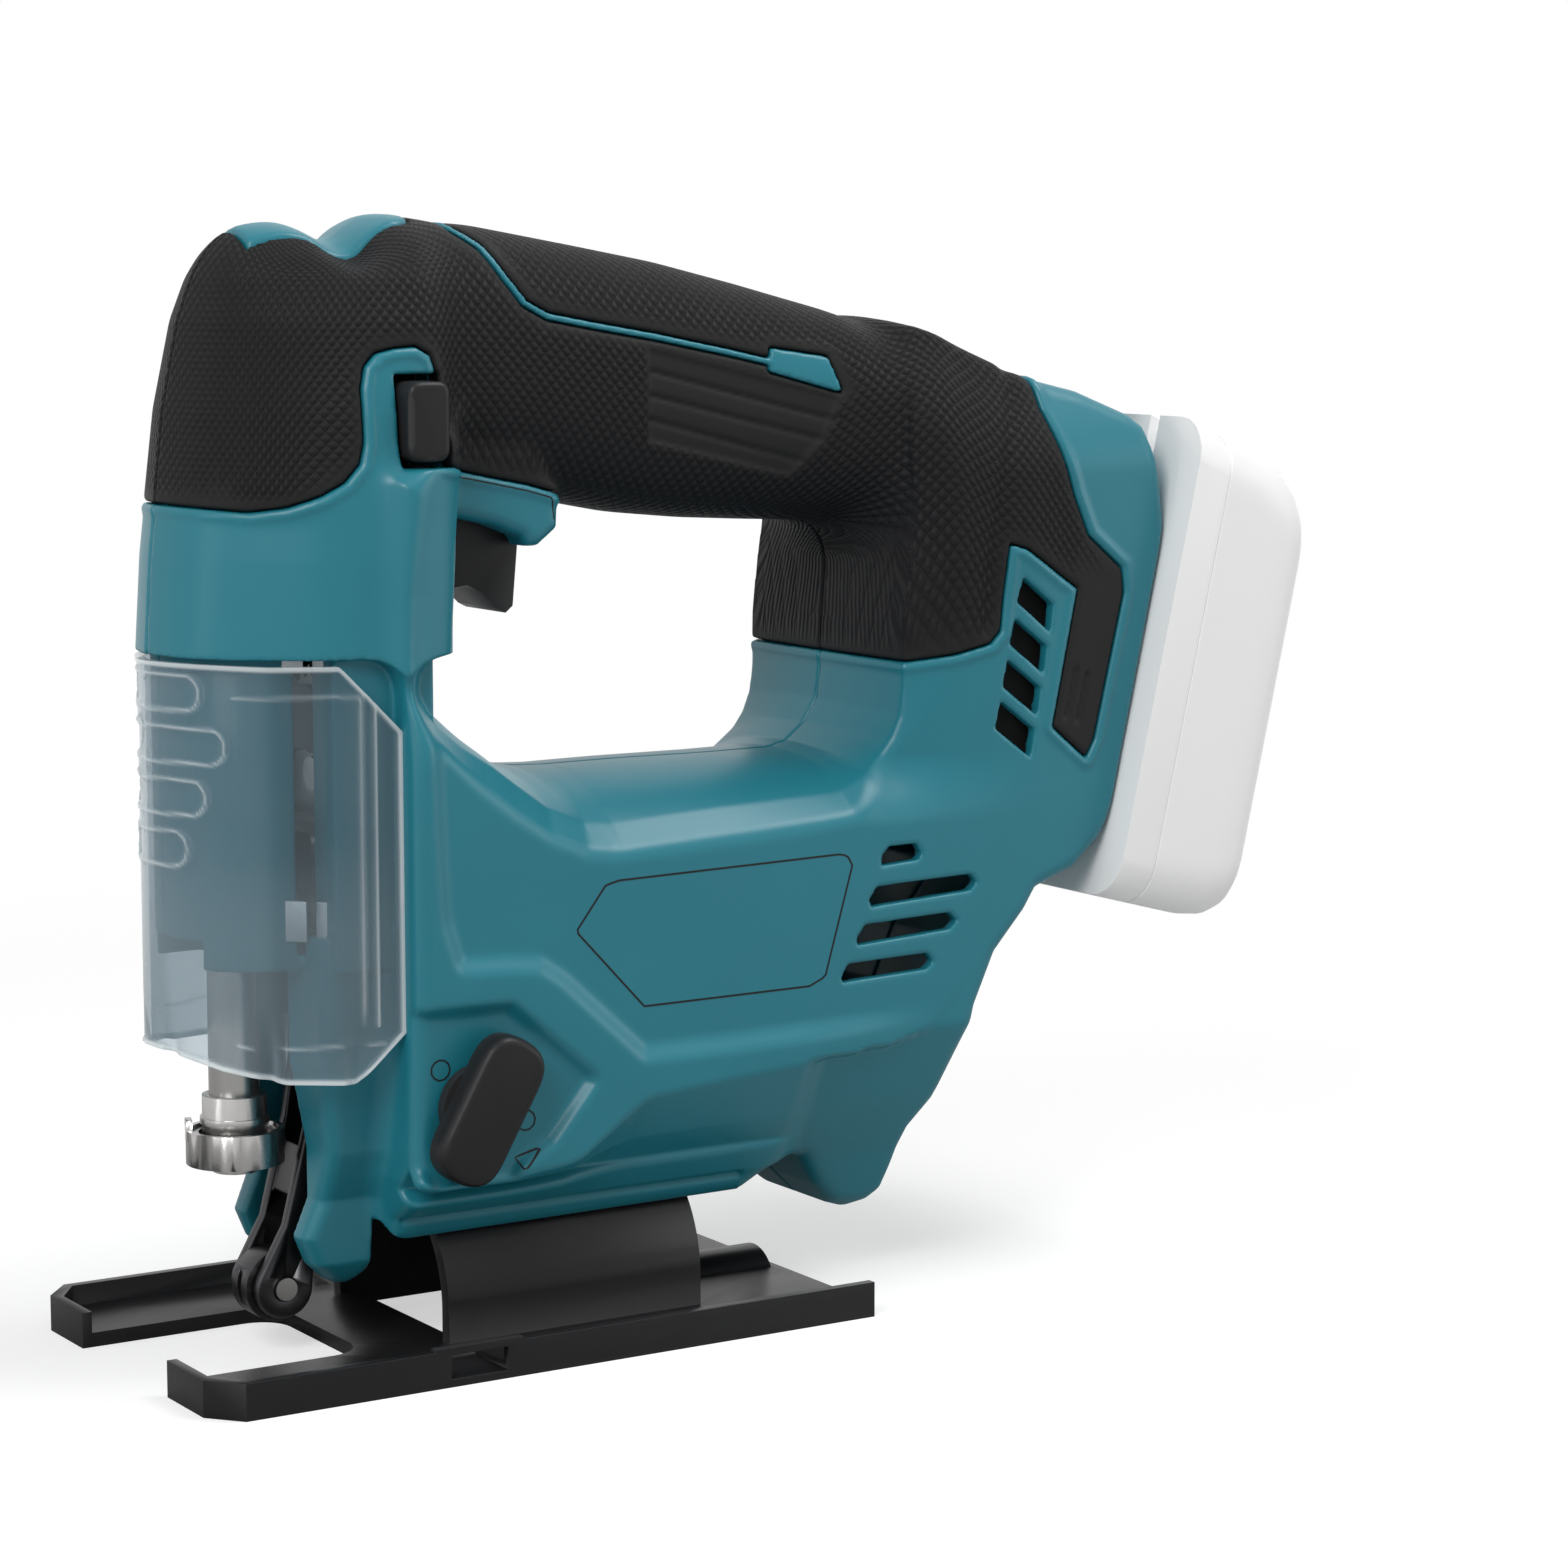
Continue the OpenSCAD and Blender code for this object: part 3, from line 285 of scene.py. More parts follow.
def number(tree, operation, a, b=0.0, c=0.0, clamp=False):
    """One sum on plain numbers or on the outputs of other nodes."""
    node = add(tree, "ShaderNodeMath", operation=operation, use_clamp=clamp)
    for i, value in enumerate((a, b, c)):
        if hasattr(value, "is_linked"):
            join(tree, value, node.inputs[i])
        else:
            node.inputs[i].default_value = value
    return node.outputs[0]


def grains(tree, where, width_mm, detail=3.0, stretch=(1, 1, 1)):
    """Noise with grains of that width; stretch makes them longer along an axis."""
    place = add(tree, "ShaderNodeMapping")
    place.inputs["Scale"].default_value = [1 / (width_mm * MM * s) for s in stretch]
    join(tree, where, place.inputs[0])
    noise = add(tree, "ShaderNodeTexNoise")
    noise.inputs["Scale"].default_value = 1.0
    noise.inputs["Detail"].default_value = detail
    join(tree, place.outputs[0], noise.inputs[0])
    return noise.outputs[0]


def relief(tree, height, depth_mm, normal=None):
    """A bump of that depth, on top of another one if given."""
    bump = add(tree, "ShaderNodeBump")
    bump.inputs["Strength"].default_value = 1.0
    bump.inputs["Distance"].default_value = depth_mm * MM
    join(tree, height, bump.inputs["Height"])
    if normal is not None:
        join(tree, normal, bump.inputs["Normal"])
    return bump.outputs[0]


def finish(name, colour, rough, metal=0.0, grain=0.5, depth=0.01, blotch=12.0, vary=0.06,
           scuff=0.08, edge=0.0, stretch=(1, 1, 1), **sockets):
    """A finish with varied colour, varied roughness and a fine relief. Returns its pieces."""
    material = bpy.data.materials.new(name)
    tree = nodes_of(material)
    shader = add(tree, "ShaderNodeBsdfPrincipled")
    join(tree, shader.outputs[0], add(tree, "ShaderNodeOutputMaterial").inputs[0])
    where = add(tree, "ShaderNodeTexCoord").outputs["Object"]
    wide = grains(tree, where, blotch, 2.0)
    fine = grains(tree, where, grain, 4.0, stretch)
    dark = [c * (1 - vary) for c in colour]
    light = [min(1.0, c * (1 + vary)) for c in colour]
    paint = mix_colours(tree, wide, dark, light)
    # Sharp convex edges, found by their pointiness, get a lighter colour.
    if edge:
        geometry = add(tree, "ShaderNodeNewGeometry")
        ridge = add(tree, "ShaderNodeMapRange")
        ridge.inputs[1].default_value, ridge.inputs[2].default_value = 0.53, 0.62
        join(tree, geometry.outputs["Pointiness"], ridge.inputs[0])
        edge_lightness = number(tree, "MULTIPLY", ridge.outputs[0], edge)
        paint = mix_colours(tree, edge_lightness, paint, [min(1.0, c * 1.6 + 0.03) for c in colour])
    join(tree, paint, shader.inputs["Base Color"])
    rubbed = number(tree, "MULTIPLY_ADD", wide, scuff, rough - scuff / 2)
    join(tree, number(tree, "MULTIPLY_ADD", fine, scuff, rubbed), shader.inputs["Roughness"])
    join(tree, relief(tree, fine, depth), shader.inputs["Normal"])
    shader.inputs["Metallic"].default_value = metal
    for socket, value in sockets.items():
        shader.inputs[socket.replace("_", " ")].default_value = value
    material.diffuse_color = (*colour, 1)
    return {"material": material, "tree": tree, "shader": shader, "fine": fine, "paint": paint}


print("recipe ready")

# %% [markdown]
# ## The plastics
#
# The shells are moulded in a blue-green nylon with a fine satin spark finish: the grain is under
# half a millimetre, and only catches the light at a slant. The pack is the same kind of moulding
# in off-white. The lock button, trigger and knob are smoother black nylon.

# %% Plastics
TEAL = (0.012, 0.172, 0.225)
FINISH = {}
FINISH["teal_plastic"] = finish("teal_plastic", TEAL, 0.33, grain=0.35, depth=0.006,
                                blotch=18, vary=0.05, edge=0.2, Specular_IOR_Level=0.4)
FINISH["pack_shell"] = finish("pack_shell", (0.88, 0.88, 0.88), 0.36, grain=0.4, depth=0.008,
                              blotch=20, vary=0.015, edge=0.0)
FINISH["black_plastic"] = finish("black_plastic", (0.014, 0.014, 0.015), 0.34, grain=0.35,
                                 depth=0.01, vary=0.12, edge=0.4, Specular_IOR_Level=0.18)
print("teal, off-white and black plastics")

# %% [markdown]
# ## Steels, bronze and castings
#
# The blade clamp is turned and polished steel, so its grain runs round or along it and the gloss
# is high. Pressed parts are duller, and the shoe is a steel pressing under a satin black coat
# that is coloured lighter along its sharp edges.

# %% Metals
FINISH["bright_steel"] = finish("bright_steel", (0.47, 0.46, 0.45), 0.24, 1.0, grain=0.25,
                                depth=0.004, stretch=(1, 1, 0.08), vary=0.06)
FINISH["dark_steel"] = finish("dark_steel", (0.055, 0.055, 0.058), 0.32, 1.0, grain=0.3,
                              depth=0.01, vary=0.15, edge=0.5)
FINISH["gear_steel"] = finish("gear_steel", (0.42, 0.41, 0.40), 0.30, 1.0, grain=0.2,
                              depth=0.01, vary=0.1)
FINISH["cast_alloy"] = finish("cast_alloy", (0.48, 0.48, 0.49), 0.45, 1.0, grain=0.9,
                              depth=0.05, vary=0.08)
FINISH["bronze"] = finish("bronze", (0.55, 0.33, 0.14), 0.35, 1.0, grain=0.4, depth=0.02)
FINISH["copper"] = finish("copper", (0.72, 0.30, 0.16), 0.30, 1.0, grain=0.5, depth=0.05,
                          stretch=(6, 1, 1))
FINISH["can_steel"] = finish("can_steel", (0.50, 0.50, 0.50), 0.28, 1.0, grain=0.3, depth=0.008,
                             stretch=(8, 1, 1))
FINISH["cell_can"] = finish("cell_can", (0.10, 0.24, 0.16), 0.30, grain=0.6, depth=0.006)
FINISH["shoe_black"] = finish("shoe_black", (0.012, 0.012, 0.013), 0.30, grain=0.6, depth=0.012,
                              blotch=9, vary=0.15, edge=0.5, Specular_IOR_Level=0.22)
print("metals:", len(FINISH), "finishes so far")

# %% [markdown]
# ## Rubber and clear plastic
#
# The overmould is a soft black rubber with a fine diamond knurl. The knurl is two families of
# slanted ridges that cross, so it needs a coordinate that runs over the skin. The skins carry it
# as `wrap`: two lengths in millimetres, and a third number for how strong the knurl is there. The
# chip cover is thin smoke-clear plastic. It lets most light straight through and mirrors the
# lamps, which a clear shader and a gloss shader in a mix show with little noise. Its wall carries
# `rim`: where its thick edges and ribs lie, and how hazy it is lower down.

# %% Rubber
KNURL = 1.5
KNURL_DEPTH = 0.38
rubber = finish("grip_rubber", (0.010, 0.010, 0.011), 0.50, grain=0.5, depth=0.01, blotch=25,
                vary=0.2, Specular_IOR_Level=0.10)
tree = rubber["tree"]
wrap = add(tree, "ShaderNodeAttribute", attribute_name="wrap")
parts = add(tree, "ShaderNodeSeparateXYZ")
join(tree, wrap.outputs["Vector"], parts.inputs[0])
ridges = []
for sign in (1, -1):
    slant = number(tree, "MULTIPLY_ADD", parts.outputs[1], sign, parts.outputs[0])
    turns = number(tree, "MULTIPLY", slant, 1 / (KNURL * math.sqrt(2)))
    ridges.append(number(tree, "PINGPONG", turns, 0.5))
peak = number(tree, "MULTIPLY", number(tree, "MULTIPLY", ridges[0], ridges[1]), 4.0)
knurl = number(tree, "POWER", peak, 0.6, clamp=True)
shown = number(tree, "MULTIPLY", knurl, parts.outputs[2])
join(tree, relief(tree, shown, KNURL_DEPTH, relief(tree, rubber["fine"], 0.01)),
     rubber["shader"].inputs["Normal"])
smooth = number(tree, "SUBTRACT", 1.0, parts.outputs[2], clamp=True)
# Painted highlight: the knurl's peaks get a lighter rubber colour, as if they catch the light.
lit = mix_colours(tree, number(tree, "MULTIPLY", shown, 0.9), rubber["paint"],
                  (0.017, 0.017, 0.018))
# Painted sheen: the smooth, unknurled panels get a lighter colour that stands for their stronger
# shine.
lit = mix_colours(tree, number(tree, "MULTIPLY", smooth, 0.7), lit, (0.024, 0.024, 0.024))
join(tree, lit, rubber["shader"].inputs["Base Color"])
FINISH["grip_rubber"] = rubber
print("knurled rubber,", KNURL, "mm pitch")

# %% Clear plastic
FACE_GLOSS, SLANT_GLOSS = 0.03, 0.5
HAZE, LOW_HAZE, EDGE_GLOSS_AND_HIGHLIGHT = 0.05, 0.12, 0.45
clear = bpy.data.materials.new("clear_plastic")
tree = nodes_of(clear)
through = add(tree, "ShaderNodeBsdfTransparent")
through.inputs[0].default_value = (0.86, 0.90, 0.92, 1)
gloss = add(tree, "ShaderNodeBsdfPrincipled")
gloss.inputs["Roughness"].default_value = 0.08
rim = add(tree, "ShaderNodeLayerWeight")
rim.inputs["Blend"].default_value = 0.35
where = add(tree, "ShaderNodeTexCoord").outputs["Object"]
haze = grains(tree, where, 14, 2.0)
body = number(tree, "MULTIPLY_ADD", rim.outputs["Facing"], SLANT_GLOSS, FACE_GLOSS)
amount = number(tree, "MULTIPLY_ADD", haze, HAZE, body, clamp=True)
rims = add(tree, "ShaderNodeAttribute", attribute_name="rim")
rim_parts = add(tree, "ShaderNodeSeparateXYZ")
join(tree, rims.outputs["Vector"], rim_parts.inputs[0])
amount = number(tree, "MULTIPLY_ADD", rim_parts.outputs[1], LOW_HAZE, amount)
# Painted highlight: on the thick rims, ribs and slot edges the gloss layer is mixed in more and
# coloured near white, as if they catch the light.
amount = number(tree, "MULTIPLY_ADD", rim_parts.outputs[0], EDGE_GLOSS_AND_HIGHLIGHT, amount, clamp=True)
join(tree, mix_colours(tree, rim_parts.outputs[0], (0.36, 0.45, 0.50), (0.80, 0.86, 0.88)),
     gloss.inputs["Base Color"])
mix = add(tree, "ShaderNodeMixShader")
join(tree, amount, mix.inputs[0])
join(tree, through.outputs[0], mix.inputs[1])
join(tree, gloss.outputs[0], mix.inputs[2])
join(tree, relief(tree, grains(tree, where, 30, 1.0), 0.05), gloss.inputs["Normal"])
join(tree, mix.outputs[0], add(tree, "ShaderNodeOutputMaterial").inputs[0])
clear.diffuse_color = (0.7, 0.8, 0.85, 1)
FINISH["clear_plastic"] = {"material": clear}
print("clear plastic")

# %% [markdown]
# ## Dressing the solids that stay
#
# A piece that is made here takes the place of one or more solids of the frame, and rides on the
# same body, so that it moves with it. Every solid takes the finish of its slot as well. The small
# turned and cut parts keep their own shape, because it is already right; they only gain a real
# surface.

# %% Dressing one piece


def finished(obj, body_name, slot, *nodes):
    """Gives a piece its finish, its body and the solids that it stands for."""
    obj.data.materials.append(FINISH[slot]["material"])
    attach(obj, body_name)
    if nodes:
        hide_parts(*nodes)
    print(obj.name, len(obj.data.vertices), "points")


print("every piece gets a finish, a body and its solids")

# %% Finishes on the frame's solids
count = 0
for node in NODES.values():
    for place in node.material_slots:
        base = place.material.name.split(".")[0]
        if base in FINISH:
            place.material = FINISH[base]["material"]
            count += 1
print(count, "slots dressed")

# %% [markdown]
# ## Carving the housing as a field
#
# The shells of a moulded tool flow into each other: the grip swells out of the head, and the hand
# opening is one smooth channel. Such forms are hard to push out of boxes. Here each form is a
# field instead: a number at every point of a fine grid that says how far outside (positive) or
# inside (negative) that point lies. Fields can be added, cut and melted into each other with one
# line of arithmetic, and the shell is the surface where the number is nought. Because the tool is
# the same on both sides, the grid holds one half and three steps more, and `A` is the distance
# from the middle seam.

# %% The grid
STEP = 0.6
PAST_SEAM = 3
low_corner = np.array([3.0, -PAST_SEAM * STEP, 10.6])
counts = np.ceil((np.array([203.0, 37.0, 200.5]) - low_corner) / STEP).astype(int)
xs, ys, zs = (low_corner[i] + STEP * np.arange(counts[i]) for i in range(3))
X = xs[:, None, None].astype(np.float32)
A = ys[None, :, None].astype(np.float32)
Z = zs[None, None, :].astype(np.float32)
print("grid of", counts, "points,", int(np.prod(counts)) // 1000, "thousand")

# %% Melting and cutting fields


def melt(a, b, k):
    """The two forms joined, with a fillet of about k between them."""
    h = np.maximum(k - np.abs(a - b), 0) / k
    return np.minimum(a, b) - h * h * (k / 4)


def trim(a, b, k):
    """What the two forms share, with the edge between them rounded by about k."""
    h = np.maximum(k - np.abs(a - b), 0) / k
    return np.maximum(a, b) + h * h * (k / 4)


def joined(*fields):
    """All the forms together, with nothing rounded."""
    return reduce(np.minimum, fields)


def shared(*fields):
    """What all the forms share, with nothing rounded."""
    return reduce(np.maximum, fields)


print("fields can be melted, cut, joined and shared")

# %% Fields from drawn lines


def outline(points):
    """Distance from a closed outline in the side view, negative inside it."""
    p = np.asarray(points, np.float32)
    x, z = X[:, 0, :], Z[0, :, :]
    best = np.full((len(xs), len(zs)), 1e9, np.float32)
    inside = np.zeros(best.shape, bool)
    for (x0, z0), (x1, z1) in zip(p, np.roll(p, -1, 0)):
        dx, dz = x1 - x0, z1 - z0
        t = np.clip(((x - x0) * dx + (z - z0) * dz) / max(dx * dx + dz * dz, 1e-9), 0, 1)
        best = np.minimum(best, (x - x0 - t * dx) ** 2 + (z - z0 - t * dz) ** 2)
        if z0 != z1:
            inside ^= ((z0 > z) != (z1 > z)) & (x < x0 + (z - z0) * dx / dz)
    return (np.sqrt(best) * np.where(inside, -1, 1)).astype(np.float32)[:, None, :]


def blur(values, reach, axis=0):
    """Softens a line or map of values along one axis, over that many millimetres."""
    n = max(1, int(reach / STEP / 2))
    kernel = np.hanning(2 * n + 3)[1:-1]
    pad = [(0, 0)] * values.ndim
    pad[axis] = (n, n)
    wide = np.pad(values, pad, mode="edge")
    return np.apply_along_axis(lambda v: np.convolve(v, kernel / kernel.sum(), "valid"),
                               axis, wide).astype(np.float32)


def curve(points, along, reach=0):
    """A value that follows drawn points along X or Z, softened at its corners."""
    at, value = np.array(sorted(points)).T
    line = np.interp(xs if along == "x" else zs, at, value)
    line = blur(line, reach) if reach else line.astype(np.float32)
    return line[:, None, None] if along == "x" else line[None, None, :]


def ease(value):
    """0 below 0, 1 above 1, and a smooth rise between."""
    t = np.clip(value, 0, 1)
    return t * t * (3 - 2 * t)


def even(field):
    """Scales a field so that it grows by one per millimetre, as a true distance does."""
    slopes = np.gradient(field, STEP)
    steep = np.sqrt(sum(s * s for s in slopes))
    return (field / np.clip(steep, 0.4, 4)).astype(np.float32)


def slope_of(width):
    """How much longer the way over a sloping width map is than the flat one."""
    dx, dz = np.gradient(width[:, 0, :], STEP)
    return np.sqrt(1 + np.clip(dx * dx + dz * dz, 0, 9)).astype(np.float32)[:, None, :]


print("field helpers ready")

# %% [markdown]
# ## The head
#
# Seen from above, the head is a blunt prow: a rounded nose, two curved cheeks and, from a soft
# vertical crease, two flatter sides that still spread a little. Seen from the side, the nose
# leans back as it rises and turns over into the crown. Both are drawn as short rows of numbers:
# the height, where the nose is, and how wide the head is there.

# %% The head's field
nose = curve([(123, 5.6), (139.5, 6.7), (149.1, 7.8), (164.1, 9.5), (179, 12.5), (186, 15),
              (189.7, 17), (193.5, 20), (195.5, 22.5), (197.5, 29)], "z", 3)
half = curve([(123, 28.6), (139.5, 28.4), (149.1, 27.9), (164.1, 26.6), (179, 24.2),
              (186, 21.8), (189.7, 19.8), (193.5, 16.8), (195.5, 14.2), (197.5, 9)], "z", 3)
behind = np.maximum(X - nose, 0.001)
cheek = A - 0.823 * half * (behind / 12.3) ** 0.65
cheek = cheek * np.clip(0.62 + 0.013 * (behind - 12), 0.45, 0.8)
side = (A - (half - 0.40 * (24.5 - behind))) * 0.93
crease = curve([(123, 9), (146, 8), (152, 3.0), (176, 3.0), (190, 8)], "z", 4)
head = trim(cheek, side, crease)
head = trim(head, A - half, 4)
head = trim(head, nose + 0.4 - X, 5)
crown = Z - curve([(5, 197.6), (28, 197.6), (42, 197.3), (56, 196.6), (70, 194.8)], "x", 6)
head = trim(even(head), crown + 0.012 * A * A, 7)
head = trim(head, X - 53, 9)
head = shared(head, 123.3 - Z)
print("head from x", round(float(xs[(head < 0).any((1, 2))][0]), 1), "mm")

# %% [markdown]
# ## The handle
#
# The handle is a bar with an oval section that follows the palm: it is highest at the front, dips
# along its length, and swells where it runs into the tower behind it. The section is a
# superellipse, a rounded shape between an ellipse and a box.

# %% The handle's field
top = curve([(40, 192), (50, 194.4), (58, 195.6), (66.4, 195.2), (71.3, 194.4), (87.3, 191.7),
             (103.7, 188.8), (120.4, 184.9), (137.7, 180.4), (155.4, 174.6), (169, 169.4),
             (182.8, 165.2), (195.1, 160)], "x", 8)
under = curve([(40, 152), (50, 151), (71, 149), (86, 146.3), (96, 144.4), (110, 143),
               (124, 142.2), (138, 141.6), (150, 136), (160, 120), (200, 110)], "x", 8)
breadth = curve([(40, 18), (55, 17.2), (71, 17.4), (96, 17.5), (118, 18.4), (130, 20),
                 (142, 23.5), (155, 28), (170, 30), (200, 30)], "x", 10)
centre, rise = (top + under) / 2, (top - under) / 2
oval = ((np.abs(A) / breadth) ** 2.5 + (np.abs(Z - centre) / rise) ** 2.5) ** (1 / 2.5)
handle = even((oval - 1) * 16)
handle = trim(trim(handle, 44 - X, 4), X - 172, 12)
print("handle", round(float(rise.min()) * 2), "to", round(float(rise.max()) * 2), "mm deep")

# %% [markdown]
# ## The body and the hand opening
#
# Below the handle everything is one casting-like body: a post behind the dust cover, a belly that
# holds the motor, and a tower that carries the battery. It is drawn as one outline in the side
# view, with a map of how far the sides stand out. The hand opening is then cut through it. Its
# edge is drawn three times, at the seam, at the soft shoulder and at the outer flank, and the
# field fades from one drawing to the next, which gives the rolled channel that the fingers feel.

# %% Outline of the body
body_line = [(40.4, 33.4), (40.4, 152), (58, 160), (110, 176), (150, 176.5), (160, 172.3),
             (169, 168.3), (182.8, 165), (193, 160.6), (195.6, 158.5), (197.4, 152),
             (199.2, 139.5), (199.1, 135.2), (192.9, 104.3), (189.6, 89.2), (184.5, 81.9),
             (178.6, 76.8), (170.1, 73.7), (167.5, 69.7), (161, 62.5), (156.6, 53), (155, 46.3),
             (152.5, 34.7), (149.4, 29.1), (148, 20.8), (147, 16.6), (144.5, 14), (140.5, 13.2),
             (136.5, 14.6), (131.6, 19.4), (126.7, 25.8), (125.4, 26.3), (117.7, 25.1),
             (112, 21.2), (44, 20.4), (42, 22)]
lower_edge = curve([(40, 33.3), (60.5, 33.4), (69.3, 34.3), (72, 35.1), (83.7, 43.6), (86, 44.5),
                    (103, 45.8), (121.8, 46.9), (136.3, 47.4), (146, 49.8), (152.4, 57),
                    (162.4, 66), (167.5, 70), (200, 76)], "x", 1.5)
silhouette = outline(body_line)
print("outline of", len(body_line), "points")

# %% How far the sides stand out
frame_line = [(46.9, 140), (46.9, 104.9), (47.5, 89.7), (48.2, 78.9), (50.2, 72.6), (59.2, 72.2),
              (64.9, 71.6), (69.7, 68.4), (85.6, 53.9), (103.9, 53.9), (122.8, 54.3), (150, 55),
              (205, 62), (205, 140)]
well_line = [(38, 61.9), (57.8, 61.8), (73, 48.6), (65.4, 39.6), (59.1, 36.2), (58.1, 34),
             (45.3, 34.2), (38, 39.4)]
proud = ease(outline(frame_line) / 3.9) * ease((150 - X) / 34) * ease((118 - Z) / 14)
well = 1 - ease(outline(well_line) / 2.4)
spread = 31.5 + 1.7 * proud - 2.2 * well
keel_width = np.where(Z < 25.2, 21.4 + (Z - 25.2) * 0.42,
                      21.8 + 11.4 * np.clip((Z - 25.2) / (lower_edge - 25.2), 0, 1))
foot_width = curve([(10, 9), (12.4, 11.5), (16, 14.5), (25, 18), (37, 25), (50, 31.4)], "z", 2)
keel_width = keel_width + (foot_width - keel_width) * ease((X - 117) / 8)
spread = np.where(Z < lower_edge, np.minimum(spread, keel_width), spread)
shoulders = curve([(100, 31.5), (138, 26.2), (141, 26.4), (146, 27.6), (152, 29.2), (160, 30.6),
                   (168, 31.4), (200, 31.4)], "x", 6)
tower_zone = ease((Z - 88) / 12) * ease((X - 126) / 10)
spread = spread + (np.minimum(spread, shoulders) - spread) * tower_zone
spread = spread - 9 * ease((Z - 150) / 26) * ease((X - 120) / 20)
spread = blur(blur(spread.astype(np.float32), 1.4, 0), 1.4, 2)
flank = (A - spread) / slope_of(spread)
body = trim(silhouette, flank, 3)
print("body half-width", round(float(spread.min()), 1), "to", round(float(spread.max()), 1))

# %% The hand opening
seam_line = [(49.8, 122), (50.6, 128), (52, 134), (54, 144), (56, 153), (60, 200), (150, 200),
             (146, 150), (143.2, 134), (142.2, 122), (141.9, 114.2), (141.1, 108.2),
             (138.3, 103.7), (134.3, 100.6), (130.4, 99.6), (118, 99.5), (97.5, 99.7),
             (82.7, 99.6), (75.5, 99.9), (70, 101), (64, 103.8), (58, 108.5), (53, 113.5)]
shoulder_line = [(43.7, 122.5), (44.6, 128), (46, 134), (48, 144), (50, 153), (54, 200),
                 (152, 200), (148, 150), (145, 134), (143.6, 124), (143.3, 112), (142.6, 107),
                 (141, 103.2), (138.7, 100.1), (134.7, 96.7), (129.3, 94.2), (121.5, 93.9),
                 (104, 93.2), (89.5, 92.4), (82.2, 91.9), (76.4, 92.5), (69.3, 95.6),
                 (63.8, 99.6), (58.9, 103.3), (53, 107), (47.5, 111.3), (44.7, 116)]
flank_line = [(38, 126.4), (38, 134), (40, 144), (42, 153), (46, 200), (166, 200), (162, 150),
              (160, 134), (158, 122), (155, 112), (149, 104), (143.5, 99.5), (140, 96.1),
              (136.1, 92.8), (129.9, 89.4), (123.8, 88.6), (107.3, 87.4), (92.6, 86.7),
              (79.7, 86.2), (74, 87), (67, 90), (60.1, 94.3), (53.3, 99.6), (48, 104.9),
              (42.7, 111.2), (40.1, 115.6), (38.5, 120.5)]
seam_cut, shoulder_cut, flank_cut = map(outline, (seam_line, shoulder_line, flank_line))
roll = np.clip(A / 26, 0, 1) ** 2.3
out = np.clip((A - 26) / 6.8, 0, 1)
opening = seam_cut * (1 - roll) + shoulder_cut * roll
opening = opening + (flank_cut - shoulder_cut) * out
opening = even(opening)
body = trim(body, -opening, 1.6)
print("hand opening cut")

# %% [markdown]
# ## Lugs, guard, column and the union
#
# Under the head stands the column that guides the plunger; the clear cover closes round it. Two
# lugs come down beside the orbital fork and carry its pin. Under the front of the handle hangs a
# short guard that houses the top of the trigger. Each is its own field, then all melt together.

# %% Column, lugs and guard
COLUMN_FOOT = 70.0
column = np.sqrt(np.maximum(26 - X, 0) ** 2 + A * A) - np.where(X < 26, 17, 25.4)
column = np.where(X < 26, column, A - 25.4)
column = shared(column, 29 - X - 40 * (A < 17), X - 48, COLUMN_FOOT - Z, Z - 126)
lug_front = curve([(12, 35), (13.2, 33.8), (17.6, 29.2), (22.5, 27.2), (29, 30), (38, 30),
                   (54, 27), (80, 27)], "z")
lug_back = curve([(12, 37), (13.2, 38.5), (17.6, 42), (22.5, 45), (29, 46), (80, 46)], "z")
lug = shared(lug_front - X, X - lug_back)
reach = curve([(13.2, 12.4), (17.6, 15.2), (29, 15.8), (38, 20), (54, 24), (80, 24)], "z")
lug = trim(trim(lug, (A - reach) * 0.94, 3), 9.8 - A, 1)
lug = shared(trim(lug, 12.6 - Z, 3), Z - 76)
guard = outline([(46, 158), (72, 156), (78.6, 150), (78.3, 142.8), (74.4, 139.8), (72, 139.8),
                 (71, 141.6), (65.4, 143.8), (55.1, 146), (46, 148.5)])
guard = trim(guard, A - 15.2, 2.5)
print("column, lugs and guard drawn")

# %% The union, cut off at the rear
LEAN = math.radians(13)
PACK_X, PACK_Z = 186, 84
shell = melt(melt(head, handle, 9), body, 7)
shell = melt(shell, guard, 3)
shell = melt(shell, lug, 4)
shell = joined(shell, column)
sin_lean, cos_lean = math.sin(LEAN), math.cos(LEAN)
out_of_rear = (X - PACK_X) * cos_lean - (Z - PACK_Z) * sin_lean
up_the_rail = (X - PACK_X) * sin_lean + (Z - PACK_Z) * cos_lean
shell = trim(shell, out_of_rear + 0.05, 1.2)
print("union ready")

# %% [markdown]
# ## Where the rubber lies
#
# The rubber skin is a second moulding shot over the shells. Its edge is drawn once in the side
# view. Inside the edge the shell is sunk by the thickness of the skin; just outside, the shell
# carries a narrow raised bead, so that the mould closes cleanly and no thin lip of rubber is
# left. A coloured stripe with a small tab is left open in the rubber along the handle.

# %% The rubber's edge
rubber_line = [(0, 149), (4.4, 149), (17.5, 147.8), (22.5, 148.6), (27.6, 150.5), (31.5, 152.6),
               (34.2, 155.6), (35.1, 159), (35.3, 168), (36.2, 171.6), (38.2, 173.8), (41.5, 174.6),
               (45.5, 174.9), (48.3, 173.4), (49.5, 170), (49.4, 161.5), (49.1, 155.1),
               (56.7, 153.8), (65.5, 151.9), (72, 150.6), (80.5, 148.2), (84, 139), (108, 127),
               (114.2, 122.4), (123.6, 119.9), (137, 117.5), (143.8, 116.8), (152.7, 117.9),
               (159.6, 119.6), (161.6, 121.8), (163, 137.8), (166.5, 136.8), (178.4, 129),
               (173.9, 108.1), (172.9, 103.7), (180.6, 97.4), (182.5, 100.7), (189.1, 127.9),
               (188.6, 132.4), (181, 138.6), (177.6, 146.2), (174.9, 154.4), (172.4, 161.8),
               (169, 210), (0, 210)]


